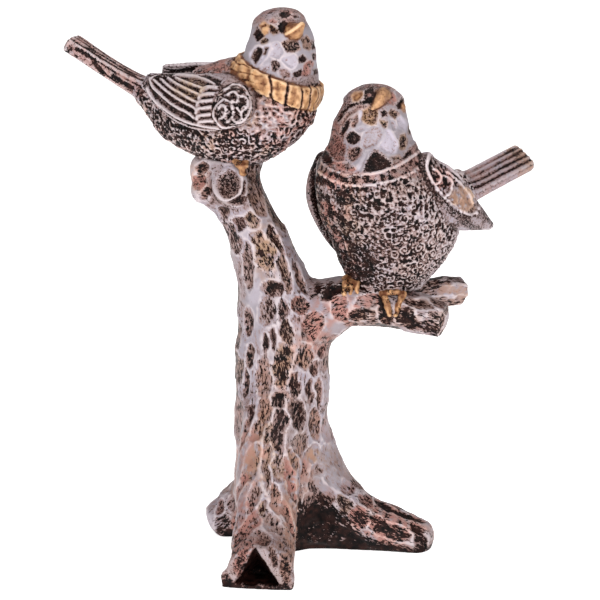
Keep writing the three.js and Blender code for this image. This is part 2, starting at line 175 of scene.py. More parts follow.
def skin(field):
    """The field's surface as points and four-sided faces."""
    grid = vdb.FloatGrid(float(field["values"].max()))
    grid.transform = vdb.createLinearTransform(voxelSize=field["grain"])
    grid.copyFromArray(field["values"])
    points, _, quads = grid.convertToPolygons(isovalue=0.0, adaptivity=0.0)
    return points.astype(float) + field["low"], quads.astype(np.int64)


STUMP_GRAIN = 0.68
stump_clay = clay({
    "trunk": (trunk, 3), "branch": (branch, 4), "prong": (prong, 3), "cut_stub": (cut_stub, 2.4),
    "knob": (knob, 3), "perch": (perch, 2.5), "front_root": (front_root, 4), "front_foot": (front_foot, 2.5),
    "right_root": (right_root, 4), "right_foot": (right_foot, 1.2), "left_root": (left_root, 4)}, STUMP_GRAIN)
steps = [stump_clay["low"][k] + STUMP_GRAIN * np.arange(n) for k, n in enumerate(stump_clay["values"].shape)]
x, y, z = np.meshgrid(*steps, indexing="ij", sparse=True)
# The hollow in the end of the front root is a tent that narrows inwards over a thin floor.
inwards = np.clip((y + 66) / 24, 0, 1)
half, height, middle = 13 - 9.5 * inwards, 24 - 18 * inwards, -18.5 + 2 * inwards
roof = (z - 2) / np.maximum(height - 2, 1) + np.abs(x - middle) / half - 1
hollow = np.maximum(np.maximum(roof * 7, 2 - z), y + 42)
underside = z + 0 * x
for taken in (underside, hollow):
    np.maximum(stump_clay["values"], -taken.astype(np.float32), out=stump_clay["values"])
points, quads = skin(stump_clay)

# What shows in the photo is placed as the viewer sees it. The eye is 1.1 m from the middle of the figurine,
# and places are written as pixels of the photo.
EYE = np.array([0, -1071.8, 353.4])
AIM = np.array([0, 0, 105.9])
EYE_TO_MIDDLE = 1100
LOOK = unit(AIM - EYE)
LIFT = np.cross((1, 0, 0), LOOK)
PHOTO_MIDDLE, PHOTO_SCALE = 300, 2.42  # in pixels, and in pixels to a millimetre at the figurine's middle


def seen(points):
    """Points as the viewer sees them: across, up and away, in millimetres at the middle of the figurine."""
    rel = points - EYE
    away = rel @ LOOK
    return np.stack([rel[:, 0] * EYE_TO_MIDDLE / away, rel @ LIFT * EYE_TO_MIDDLE / away, away], 1)


def spots(text):
    """Places written as pixels, "across,down across,down", as the viewer sees them in millimetres."""
    across, down = np.array([place.split(",") for place in text.split()], float).T
    return np.stack([across - PHOTO_MIDDLE, PHOTO_MIDDLE - down], 1) / PHOTO_SCALE


def normals_of(points, quads):
    a, b, c, d = (points[quads[:, k]] for k in range(4))
    face = np.cross(c - a, d - b)
    sums = [np.bincount(quads.ravel(), np.repeat(face[:, k], 4), len(points)) for k in range(3)]
    return unit(np.stack(sums, 1))


def evened(values, quads, rounds):
    """Values at the points, each drawn towards its neighbours' mean a number of times."""
    a, b = quads[:, [0, 1, 2, 3]].ravel(), quads[:, [1, 2, 3, 0]].ravel()
    count = np.maximum(np.bincount(a, minlength=len(values)), 1)[:, None]
    out = values.reshape(len(values), -1).astype(float)
    for _ in range(rounds):
        mean = np.stack([np.bincount(a, out[b, k], len(out)) for k in range(out.shape[1])], 1) / count
        out = (out + mean) / 2
    return out.reshape(values.shape)


def rise(values, low, high):
    """0 below low, 1 above high, and smooth between them."""
    t = np.clip((values - low) / (high - low), 0, 1)
    return t * t * (3 - 2 * t)


def mottle(points, size, seed):
    """Soft random patches of a size in millimetres, 0 to 1."""
    cell = (points - points.min(0)) / size
    whole = np.floor(cell).astype(int)
    f = cell - whole
    f = f * f * (3 - 2 * f)
    lattice = np.random.default_rng(seed).random(tuple(whole.max(0) + 2))
    out = 0
    for corner in np.ndindex(2, 2, 2):
        weight = np.prod(np.abs(1 - np.array(corner) - f), axis=1)
        out = out + weight * lattice[tuple((whole + corner).T)]
    return out


# Gouge cuts that show from the front: where each lies, its half width and half length, all in pixels, its
# lean to the right in degrees, and how far its floor is left dark, tan or rose.
FRONT_CUTS = [
    (248, 190, 6.5, 9, -20, .9, 0, 0), (240, 204, 8, 13, 80, .9, 0, 0), (254, 222, 8, 10, 0, .5, .5, 0),
    (238, 226, 8, 9, 0, .7, 0, 0), (278, 238, 6, 17, -28, .85, .1, 0), (258, 242, 8, 8, 0, .1, .5, .1),
    (266, 257, 13, 16, 0, .35, .8, 0), (246, 268, 7, 26, -6, .3, .1, 0),
    (288, 272, 6.5, 22, -8, .5, .35, .1), (302, 275, 5, 18, -12, .15, .2, .2),
    (275, 291, 13, 9, -20, .85, 0, 0), (266, 313, 11, 16, 0, .85, .1, 0),
    (285, 312, 6, 13, 0, .5, .1, 0), (246, 325, 7, 15, -8, .6, .1, .2),
    (303, 305, 10, 10, 0, .45, .2, .7), (289, 334, 7, 16, -8, .75, .3, 0),
    (314, 328, 11, 15, 20, .45, .2, .5), (264, 345, 4, 13, 0, .6, 0, 0),
    (274, 342, 4.5, 12, 0, .85, 0, 0), (284, 367, 10, 23, 6, .7, .7, 0),
    (308, 358, 11, 14, 0, .5, .6, .3), (247, 357, 6, 12, 0, .7, .1, 0),
    (243, 383, 5, 17, 0, .65, .1, .1), (261, 380, 9, 24, 0, .15, .3, .3),
    (298, 386, 7, 14, 0, .65, .1, .1), (317, 370, 6, 9, 0, .5, .1, .2), (281, 400, 8, 10, 0, .85, .1, 0),
    (325, 352, 6, 8, 10, .5, 0, .2), (322, 395, 6, 16, 0, .2, .2, .3), (312, 392, 5, 14, 0, .5, .1, .1),
    (246, 418, 6, 13, 0, .75, 0, .1), (262, 412, 9, 13, 0, .4, .5, .4), (281, 417, 8, 10, 0, .9, 0, 0),
    (301, 414, 10, 16, 0, .85, .1, 0), (318, 424, 9, 15, -8, .45, .5, .4),
    (241, 437, 5, 12, 0, .7, 0, .1), (280, 439, 8.5, 16, 0, 1, 0, 0), (255, 430, 8, 9, 0, .4, .1, .1),
    (249, 461, 10, 16, 0, .5, .9, 0), (265, 455, 5, 30, 0, .25, 0, 0), (281, 466, 8, 13, 0, .75, .4, 0),
    (304, 446, 13, 10, -10, .25, .2, 0), (297, 462, 7, 9, 0, .4, .8, .1),
    (316, 456, 10, 9, 0, .45, .7, 0), (322, 472, 12, 9, -30, .45, .1, 0),
    (318, 490, 13, 8, 80, .55, .1, 0), (337, 478, 9, 14, -40, .35, .1, 0),
    (252, 497, 6, 16, 0, .8, 0, 0), (238, 483, 6, 15, 4, .4, 0, .6), (263, 507, 5, 10, 0, .65, .5, 0),
    (277, 496, 6, 14, 0, .4, .5, .4), (271, 519, 10, 12, -20, .6, .1, 0),
    (293, 478, 7, 20, 0, .25, .4, .6), (292, 520, 7, 22, 0, .4, .4, .5), (230, 502, 8, 9, 10, .6, 0, .1),
    (217, 506, 6, 8, 20, .5, 0, .3), (224, 529, 12, 12, 0, .85, 0, 0), (246, 525, 9, 20, 8, .25, .1, .7),
    (239, 560, 7, 16, 12, .55, .1, .7), (264, 536, 8, 10, 0, .3, 0, 0),
    (259, 559, 7, 12, -28, .95, .5, 0), (276, 553, 6, 26, -14, .25, 0, 0),
    (288, 562, 6, 22, 0, .5, .4, .4), (224, 584, 9, 8, 0, .7, 0, .2), (347, 505, 13, 9, 60, .85, .4, 0),
    (351, 484, 10, 10, -40, .3, 0, .3), (368, 497, 10, 9, -50, .5, .1, .5),
    (362, 517, 11, 13, -50, .55, .1, .8), (388, 505, 6, 15, -66, .9, 0, 0),
    (408, 513, 6, 20, -60, .85, .3, .1), (393, 530, 9.5, 22, -72, .95, 0, 0),
    (378, 517, 5, 12, -62, .5, .3, .8), (421, 527, 7, 9, -50, .85, 0, 0), (424, 542, 9, 10, 0, 1, 0, 0),
    (340, 285, 6, 22, 74, .5, .1, .2), (328, 293, 6, 10, 60, .95, .1, 0),
    (338, 310, 16, 9, 75, .25, .1, .5), (365, 300, 8, 14, 70, .3, .1, .7),
    (358, 316, 7, 14, 60, .7, .2, 0), (378, 302, 7, 9, 0, .75, .1, .2),
    (385, 318, 12, 8, 90, .6, .3, .2), (228, 183, 12.5, 14.5, 10, .8, .1, .1),
    (197, 182, 7, 10, 10, .3, .5, .6), (204, 197, 9, 6, -40, .75, .1, .2),
    (199, 168, 8, 7, 0, .8, .1, .1), (222, 215, 7, 9, 30, .5, .1, .1),
    (405, 318, 10, 14, -60, .75, .1, .1), (418, 300, 8, 16, -70, .7, .2, .1),
    (412, 328, 8, 14, 84, .65, .1, .1)
]
CUT_DEPTH = 1.15
WIDENED, LENGTHENED, LOW_LENGTHENED = 1.05, 1.08, 1.35  # the soft edges take some of each cut's size
LOW_ON_TRUNK = -45  # below this height as seen, upright cuts run longer


def front_cuts(rows, points, normals):
    """Cuts seen from the front, set on the skin: place, long axis, half sizes and tones."""
    view = seen(points)
    cuts = []
    for u, v, half_width, half_length, lean, *tones in rows:
        across, up = spots(f"{u},{v}")[0]
        near = np.hypot(view[:, 0] - across, view[:, 1] - up)
        pick = np.where(near < max(1.2, near.min() + .3))[0]
        k = pick[np.argmin(view[pick, 2])]
        turn = math.radians(-lean)
        axis = np.array([-math.sin(turn), 0, math.cos(turn)])
        axis = unit(axis - normals[k] * (axis @ normals[k]))
        long = LOW_LENGTHENED if up < LOW_ON_TRUNK and abs(lean) < 30 else LENGTHENED
        sizes = half_width / PHOTO_SCALE * WIDENED, half_length / PHOTO_SCALE * long
        cuts.append((points[k], axis, *sizes, tones))
    return cuts


def cuts_round(part, rows, columns, seed, tones):
    """Staggered cuts all round a limb, a little uneven as handwork is."""
    rng = np.random.default_rng(seed)
    length = np.linalg.norm(np.diff(part["centre"], axis=0), axis=1).sum()
    cuts = []
    for row in range(rows):
        for column in range(columns):
            share = (row + .5 + rng.uniform(-.22, .22)) / rows
            k = int(np.clip(share, 0, 1) * (len(part["centre"]) - 1))
            angle = (column + .5 * (row % 2) + rng.uniform(-.2, .2)) / columns * TAU
            w, h = part["size"][k]
            out = part["side"][k] * w * math.cos(angle) + part["up"][k] * h * math.sin(angle)
            half_length = length / rows * rng.uniform(.66, .9)
            half_width = TAU * (w + h) / 2 / columns * rng.uniform(.58, .72)
            dark = rng.uniform(*tones[0])
            tan, rose = rng.uniform(0, tones[1]), rng.uniform(0, tones[2])
            place = part["centre"][k] + out
            cuts.append((place, part["along"][k], half_width, half_length, (dark, tan, rose)))
    return cuts


def gouge(points, cuts):
    """How deep each point lies in its nearest cut (0 at a ridge, 1 at the floor), that cut's tones, and how
    near it lies to the cut's lip."""
    best, beyond = np.full(len(points), 9.0), np.full(len(points), 9.0)
    bend = [mottle(points, 4, 100 + k) + .35 * mottle(points, 1.3, 110 + k) for k in range(3)]
    points = points + 2.2 * (np.stack(bend, 1) - .67)
    tones = np.zeros((len(points), 3))
    for place, axis, half_width, half_length, tone in cuts:
        near = np.where(np.abs(points - place).max(1) < max(half_width, half_length) * 1.1)[0]
        rel = points[near] - place
        down = rel @ axis
        off = np.linalg.norm(rel - down[:, None] * axis, axis=1)
        q = (down / half_length) ** 2 + (off / half_width) ** 2
        better = q < best[near]
        best[near[better]] = q[better]
        tones[near[better]] = tone
        edge = np.abs(np.sqrt(q) - 1) * half_width
        beyond[near] = np.where(better | (q < 1.6), np.minimum(beyond[near], edge), beyond[near])
    return np.clip(1 - best, 0, 1), tones, 1 - rise(beyond, .08, .36)


normals = normals_of(points, quads)
shown = front_cuts(FRONT_CUTS, points, normals)
hidden = []
for seed, (part, rows, columns, *tones) in enumerate((
        (trunk, 15, 9, (.3, .9), .4, .3), (branch, 7, 7, (.4, .9), .3, .3), (prong, 3, 6, (.4, .8), .3, .2),
        (front_root, 8, 8, (.2, .7), .4, .5), (right_root, 7, 7, (.3, .9), .3, .6),
        (left_root, 4, 7, (.3, .8), .2, .4), (knob, 2, 6, (.4, .8), .2, .2),
        (right_foot, 5, 7, (.7, .9), .1, .1)), 1):
    hidden += cuts_round(part, rows, columns, seed, tones)
places, spread = np.array([cut[0] for cut in shown]), np.array([cut[3] for cut in shown])
hidden = [cut for cut in hidden if np.min(np.linalg.norm(places - cut[0], axis=1) - spread) > 2.5]
inside, tones, lip = gouge(points, shown + hidden)
uneven = (mottle(points, 5, 11) - .5) * .5 + (mottle(points, 1.6, 12) - .5) * .28
lip *= rise(inside, .5, .15) * rise(mottle(points, 5, 13), .25, .7)
relief = -CUT_DEPTH * inside ** .8 + uneven + .1 * lip
points = points + normals * (relief * rise(points[:, 2], 0, 1.2))[:, None]  # the underside stays flat
points[:, 2] = np.maximum(points[:, 2], 0)


def distance_to(field, name, points):
    """How far points are from the skin of one named part of the clay, in millimetres."""
    values, start = field["own"][name]
    cell = np.rint((points - field["low"]) / field["grain"]).astype(int) - start
    inside = np.all((cell >= 0) & (cell < values.shape), axis=1)
    out = np.full(len(points), field["far"])
    out[inside] = values[tuple(cell[inside].T)]
    return out


def owner(field, points):
    """For each point, the name of the part whose skin it lies on."""
    names = list(field["own"])
    away = np.stack([distance_to(field, name, points) for name in names], 1)
    return np.array(names)[away.argmin(1)]


def along_grain(field, points):
    """Each point's place in the frame of the limb it lies on: across, along and up from its middle line."""
    part_of, out = owner(field, points), np.zeros_like(points)
    for name in field["own"]:
        on, part = part_of == name, field["parts"][name]
        if on.any():
            run = np.concatenate([[0], np.cumsum(np.linalg.norm(np.diff(part["centre"], axis=0), axis=1))])
            k = np.concatenate([np.linalg.norm(p[:, None] - part["centre"][None, ::3], axis=2).argmin(1) * 3
                                for p in np.array_split(points[on], 1 + on.sum() // 20000)])
            rel = points[on] - part["centre"][k]
            side, along, up = (np.einsum("ij,ij->i", rel, part[key][k]) for key in ("side", "along", "up"))
            out[on] = np.stack([side, run[k] + along, up], 1)
    return out


def paint(points, quads, bare, tints, pearl, rubbed, strokes):
    """What the painter's brush finds: how far each point stands out of its surroundings (-1 in a crevice, 1
    on a ridge), how bare the black ground is left there, the tints brushed over it (tan, rose and gold),
    how smoothly the pearl is laid, and which way the strokes run. In places the bareness also carries painted
    shade, and the pearl painted light and shade."""
    normals = normals_of(points, quads)
    fine, broad = (np.einsum("ij,ij->i", points - evened(points, quads, rounds), normals)
                   for rounds in (12, 90))
    height = np.clip(fine / .22 + broad / 2.4, -1.5, 1.5) + rubbed
    return {"height": height, "bare": bare, "tints": tints, "pearl": pearl, "strokes": strokes / 1000}


def moulding(name, points, quads, attributes, material):
    """The piece as a Blender mesh, in metres, with what the brush finds kept on its points."""
    mesh = bpy.data.meshes.new(name)
    mesh.vertices.add(len(points))
    mesh.vertices.foreach_set("co", ((points + FOOT_TO_MIDDLE) / 1000).astype(np.float32).ravel())
    mesh.loops.add(quads.size)
    mesh.loops.foreach_set("vertex_index", quads.ravel().astype(np.int32))
    mesh.polygons.add(len(quads))
    mesh.polygons.foreach_set("loop_start", np.arange(0, quads.size, 4, dtype=np.int32))
    mesh.polygons.foreach_set("loop_total", np.full(len(quads), 4, np.int32))
    mesh.update(calc_edges=True)
    mesh.polygons.foreach_set("use_smooth", np.ones(len(quads), bool))
    for key, values in attributes.items():
        kind, field = ("FLOAT", "value") if values.ndim == 1 else ("FLOAT_VECTOR", "vector")
        mesh.attributes.new(key, kind, "POINT").data.foreach_set(field, values.astype(np.float32).ravel())
    mesh.validate()
    mesh.materials.append(material)
    piece = bpy.data.objects.new(name, mesh)
    bpy.context.scene.collection.objects.link(piece)
    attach(piece, "root")
    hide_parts("birds_on_tree")


def hex_colour(code):
    """An sRGB hex value as the linear colour that the shaders take."""
    parts = [int(code[k:k + 2], 16) / 255 for k in (0, 2, 4)]
    return tuple(c / 12.92 if c <= .04045 else ((c + .055) / 1.055) ** 2.4 for c in parts) + (1,)


def add(tree, kind, links, output=0, **settings):
    """One node, with its settings, and numbers, colours or other nodes' sockets for its inputs. Gives its
    output."""
    node = tree.nodes.new("ShaderNode" + kind)
    for key, value in settings.items():
        setattr(node, key, value)
    for key, value in links.items():
        if isinstance(value, bpy.types.NodeSocket):
            tree.links.new(value, node.inputs[key])
        else:
            node.inputs[key].default_value = value
    return node.outputs[output] if node.outputs else None


def dry_brushed(name, streak=1, scuff=1.1, cover=.55):
    """Cast polyester resin painted with matt black-brown lacquer, then dry-brushed with pearl and gold
    paint. The stiff brush catches what stands out and skips over the hollows in broken flecks about scuff
    millimetres wide, drawn out along the strokes, so the eye reads every ridge. The real flecks are down to
    a tenth of a millimetre, and are drawn coarser here so that they show."""
    material = bpy.data.materials.new(name)
    material.use_nodes = True
    tree = material.node_tree
    tree.nodes.clear()
    place = add(tree, "TexCoord", {}, "Object")
    strokes = add(tree, "Attribute", {}, "Vector", attribute_name="strokes")
    strokes = add(tree, "Mapping", {"Vector": strokes, "Scale": (1, streak, 1)})
    height, bare, pearl = (add(tree, "Attribute", {}, "Fac", attribute_name=key)
                           for key in ("height", "bare", "pearl"))
    tints = add(tree, "Attribute", {}, "Vector", attribute_name="tints")
    tan, rose, gilt = add(tree, "SeparateXYZ", {0: tints}).node.outputs
    flecks, specks = (
        add(tree, "TexNoise", {"Vector": strokes, "Scale": 1000 / size, "Detail": 2, "Roughness": .6})
        for size in (scuff, .42 * scuff))
    patches, blotches, sheen = (
        add(tree, "TexNoise", {"Vector": place, "Scale": 1000 / size, "Detail": detail})
        for size, detail in ((9, 2), (2.8, 3), (22, 2)))
    # How much pearl paint is left: more on ridges, less where the ground was kept bare, broken by the
    # flecks. Thick is the same for its colour, with whole patches of the figurine brushed more than others.
    laid = add(tree, "MapRange", {"Value": pearl, "From Min": .3, "From Max": .6})
    load = cover - 3.3
    for layer, share in ((height, .26), (bare, -1.15), (pearl, .4), (laid, .8), (flecks, 3.8), (specks, 2.8)):
        load = add(tree, "Math", {0: layer, 1: share, 2: load}, operation="MULTIPLY_ADD")
    thick = load
    for layer, share in ((height, .42), (patches, 1.3)):
        thick = add(tree, "Math", {0: layer, 1: share, 2: thick}, operation="MULTIPLY_ADD")
    thin_share, pearl_share, edge_share, cool_share, smooth_share, ground_share, kept = (
        add(tree, "MapRange", {"Value": value, "From Min": low, "From Max": high}) for value, low, high in (
            (thick, .3, 1.2), (thick, .95, 1.9), (height, .5, 1.9), (sheen, .42, .62), (pearl, .5, 1.1),
            (blotches, .4, .7), (load, -.55, -.2)))
    painted, blotch = (
        add(tree, "MapRange", {"Value": value, "From Min": low, "From Max": high},
            interpolation_type="SMOOTHSTEP")
        for value, low, high in ((load, 0, .2), (blotches, .34, .58)))
    cool_share = add(tree, "Math", {0: pearl, 1: cool_share}, operation="ADD", use_clamp=True)
    tan_share, rose_share, gilded = (
        add(tree, "Math", {0: tint, 1: where}, operation="MULTIPLY", use_clamp=True)
        for tint, where in ((tan, blotch), (rose, blotch), (gilt, kept)))
    gold_share = add(tree, "Math", {0: blotches, 1: 2.6, 2: -.85}, operation="MULTIPLY_ADD")
    gold_share = add(tree, "Math", {0: height, 1: .6, 2: gold_share}, operation="MULTIPLY_ADD",
                     use_clamp=True)
    # Each paint runs between two shades: pearl warm to cool, smooth pearl dull to bright, tan and rose
    # deeper in the hollows, the ground black to brown, and gold dark to light.
    pearly, smooth, tan_paint, rose_paint, ground, gold = (
        add(tree, "Mix", {0: share, 6: hex_colour(low), 7: hex_colour(high)}, 2, data_type="RGBA")
        for share, low, high in (
            (cool_share, "9c8986", "9a929d"), (smooth_share, "928a90", "c3b9c6"),
            (edge_share, "9d8067", "d0b59b"), (edge_share, "a4736a", "d3aba2"),
            (ground_share, "080303", "301a16"), (gold_share, "70432a", "cb9a6e")))
    pearly = add(tree, "Mix", {0: laid, 6: pearly, 7: smooth}, 2, data_type="RGBA")
    gold = add(tree, "Mix", {0: edge_share, 6: gold, 7: hex_colour("e3c09a")}, 2, data_type="RGBA")
    # Thin paint looks rosy brown, thick paint pearl grey, and the rubbed edges nearly white.
    colour = hex_colour("5a3f3a")
    for share, over in ((thin_share, hex_colour("8f7470")), (pearl_share, pearly),
                        (edge_share, hex_colour("c9bbbd")), (tan_share, tan_paint), (rose_share, rose_paint)):
        colour = add(tree, "Mix", {0: share, 6: colour, 7: over}, 2, data_type="RGBA")
    colour = add(tree, "Mix", {0: painted, 6: ground, 7: colour}, 2, data_type="RGBA")
    colour = add(tree, "Mix", {0: gilded, 6: colour, 7: gold}, 2, data_type="RGBA")
    # Pearl and gold paint hold metal flakes, and the bare ground is a plain satin lacquer.
    metal = add(tree, "Math", {0: painted, 1: .35}, operation="MULTIPLY")
    gleam, rough, grain = (
        add(tree, "Math", {0: layer, 1: share, 2: base}, operation="MULTIPLY_ADD")
        for layer, share, base in ((painted, .3, .12), (flecks, .3, .3), (specks, .8, painted)))
    bump = add(tree, "Bump", {"Height": grain, "Strength": .5, "Distance": .00022})
    shader = add(tree, "BsdfPrincipled", {"Base Color": colour, "Metallic": metal, "Roughness": rough,
                                          "Normal": bump, "IOR": 1.45, "Specular IOR Level": gleam})
    add(tree, "OutputMaterial", {"Surface": shader})
    return material


def within(view, outline):
    """Which points the viewer sees inside an outline."""
    inside = np.zeros(len(view), bool)
    corners = spots(outline)
    for (x0, y0), (x1, y1) in zip(corners, np.roll(corners, -1, 0)):
        crosses = (y0 > view[:, 1]) != (y1 > view[:, 1])
        inside ^= crosses & (view[:, 0] < (x1 - x0) * (view[:, 1] - y0) / (y1 - y0 + 1e-12) + x0)
    return inside


view = seen(points)
bare = .56 * tones[:, 0] * rise(inside, .02, .7)
tan, rose = tones[:, 1] * rise(inside, 0, .5), tones[:, 2] * rise(inside, 0, .4)
between_cuts = rise(inside, .25, 0) * rise(mottle(points, 7, 20), .3, .6) * rise(points[:, 2], 25, 50)
pearl = .15 * rise(mottle(points, 14, 19), .4, .7) + .5 * between_cuts
# Washes over whole stretches that show from the front: place and half sizes in pixels, then how much tan,
# rose, dark and pearl. The dark ones along the branch under the lower bird are partly black ground and partly
# painted shade where the bird sits on the branch.
WASHES_AND_SHADE = [
    (388, 525, 42, 24, .3, .9, .26, -.3), (330, 462, 24, 38, 0, 0, -.4, .62),
    (291, 520, 9, 48, .6, .4, .1, -.1), (243, 545, 14, 45, .1, .75, .05, -.1),
    (316, 332, 20, 24, .2, .6, 0, 0), (340, 306, 22, 16, .1, .6, 0, .1),
    (250, 455, 14, 30, .2, .5, 0, 0), (264, 440, 10, 50, .5, .1, 0, 0), (197, 180, 12, 14, .4, .5, 0, 0),
    (268, 250, 14, 34, .35, .15, .1, 0), (285, 372, 11, 30, .3, .35, .2, -.1),
    (258, 300, 12, 26, 0, 0, 0, .5), (300, 470, 14, 30, .3, .4, 0, .1), (225, 545, 22, 14, 0, .2, .4, 0),
    (430, 328, 22, 14, .1, .1, .25, 0), (328, 290, 14, 8, 0, 0, .8, -.3),
    (436, 282, 22, 8, .1, 0, .35, 0), (268, 530, 12, 40, .1, .1, -.1, .3),
    (392, 319, 46, 11, .25, .2, .34, -.3), (452, 290, 17, 10, .35, .15, -.8, .7),
    # painted shade under the lower bird, as is the dark wash at 328,290 above
    (390, 297, 11, 12, 0, 0, .9, 0), (352, 284, 14, 9, .2, 0, .7, 0), (369, 286, 12, 7, 0, 0, 1.2, 0),
    (284, 505, 16, 60, .1, .1, -.3, .3), (246, 470, 16, 60, .1, .1, -.3, .4),
    (225, 500, 20, 14, 0, .1, 0, .3)
]
blur = mottle(points, 6, 18) * .7 + mottle(points, 2.5, 17) * .5
for across, down, half_width, half_height, *shares in WASHES_AND_SHADE:
    off = (view[:, :2] - spots(f"{across},{down}")) * PHOTO_SCALE / (half_width, half_height)
    wash_and_shade = rise(np.hypot(off[:, 0], off[:, 1]) + blur - .6, 1.25, .6) * (normals @ LOOK < .3)
    tan, rose = tan + wash_and_shade * shares[0], rose + wash_and_shade * shares[1]
    bare, pearl = bare + wash_and_shade * shares[2] * (1 - .6 * lip), pearl + wash_and_shade * shares[3]
# Black ground is left in the hollow between the front root and the right root, where it is also painted
# shade under the right root's overhang, in the front root's own hollow, and along the foot.
BLACK_AND_SHADED_FLANK = ("298,500 303,505 310,507 318,500 327,500 334,506 345,517 352,525 362,535 379,542 396,546 412,551 "
         "412,560 296,560")
black_and_shaded_flank = within(view, BLACK_AND_SHADED_FLANK) & (normals @ LOOK < .2) & (points[:, 1] < 12)
into_root = distance_to(stump_clay, "front_root", points)
in_hollow = (into_root < -1.6) & (points[:, 1] < -40) & (points[:, 2] > .3)
in_hollow &= np.abs(points[:, 0] + 17.5) < 13
for dark in (1.0 * black_and_shaded_flank, 1.3 * in_hollow, .9 * rise(points[:, 2] + 3 * blur, 5, 2.5)):
    bare = np.maximum(bare, dark)
rubbed = .22 * lip * (1 - black_and_shaded_flank) - .8 * rise(-points[:, 1], 44, 56) - 1.2 * rise(points[:, 2], 4, 2)
wood = dry_brushed("resin_stump_dry_brushed", streak=.3, scuff=.9, cover=.48)
tints = np.stack([tan, rose, 0 * tan], 1)
moulding("stump", points, quads, paint(
    points, quads, evened(bare, quads, 3), tints, np.clip(.7 * pearl, 0, 1), rubbed,
    along_grain(stump_clay, points)), wood)


# The upper bird
# It perches on the top of the trunk and looks over its right shoulder at the viewer. It is of the same
# resin, cast in one with the stump. Its feathers are cut as ridges, its breast is modelled like knotted
# lace, and its ruff, beak and eyes are gilded.
UPPER_PLACE, UPPER_HEADING = (-24.4, 0, 184.4), -18
UPPER_GRAIN = .48
FILLETS = {"body": 2, "mantle": 4, "neck": 2.5, "collar": .6, "tail": 3, "left_wing": .8, "right_wing": .8,
           "medallion": .8, "beak": .5, "left_eye": .5, "right_eye": .5}


def turn_to(heading):
    """The turn from a bird's own frame, in which it looks along +x, to its heading in degrees."""
    c, s = math.cos(math.radians(heading)), math.sin(math.radians(heading))
    return np.array([[c, s, 0], [-s, c, 0], [0, 0, 1]])


def placed(parts, place, heading):
    """A bird's parts turned to its heading and set in its place, each with its fillet."""
    out = {}
    for name, part in parts.items():
        part = dict(part)
        for key in ("along", "side", "up", "points", "centre"):
            part[key] = part[key] @ turn_to(heading)
        for key in ("points", "centre"):
            part[key] = part[key] + np.array(place, float)
        out[name] = (part, FILLETS[name])
    return out


def head_parts(centre, radius, face, roll, eye_yaw, beak):
    """The beak and the two eyes, set out from the middle of the head by the way it faces. Each row of the
    beak is its yaw and pitch, its distance in head radii, and its half sizes."""
    def out(yaw, pitch, reach):
        yaw, pitch = math.radians(yaw), math.radians(pitch)
        level = reach * math.cos(pitch)
        return (centre[0] + level * math.cos(yaw), centre[1] + level * math.sin(yaw),
                centre[2] + reach * math.sin(pitch))
    across = (-math.sin(math.radians(face)), math.cos(math.radians(face)), 0)
    bill = limb([(*out(yaw, pitch, radius * reach), *size) for yaw, pitch, reach, *size in beak], across,
                domes=(0, .6))
    eyes = []
    for side in (-1, 1):
        rows = [(*out(face + side * eye_yaw, 16 + roll * side, radius * reach), size, size)
                for reach, size in ((.7, 2.4), (.93, 2))]
        eyes.append(limb(rows, (0, 0, 1), domes=(0, 1)))
    return {"beak": bill, "right_eye": eyes[0], "left_eye": eyes[1]}


def bowed(bow, out):
    """A folded wing, bowed outwards."""
    return lambda wide, high, share: (wide, high + out * bow * (1 - wide * wide))


def flat_bar(wide, high, share):
    """A closed tail: nearly a flat bar."""
    return np.sign(wide) * np.abs(wide) ** .7, np.sign(high) * np.abs(high) ** .6


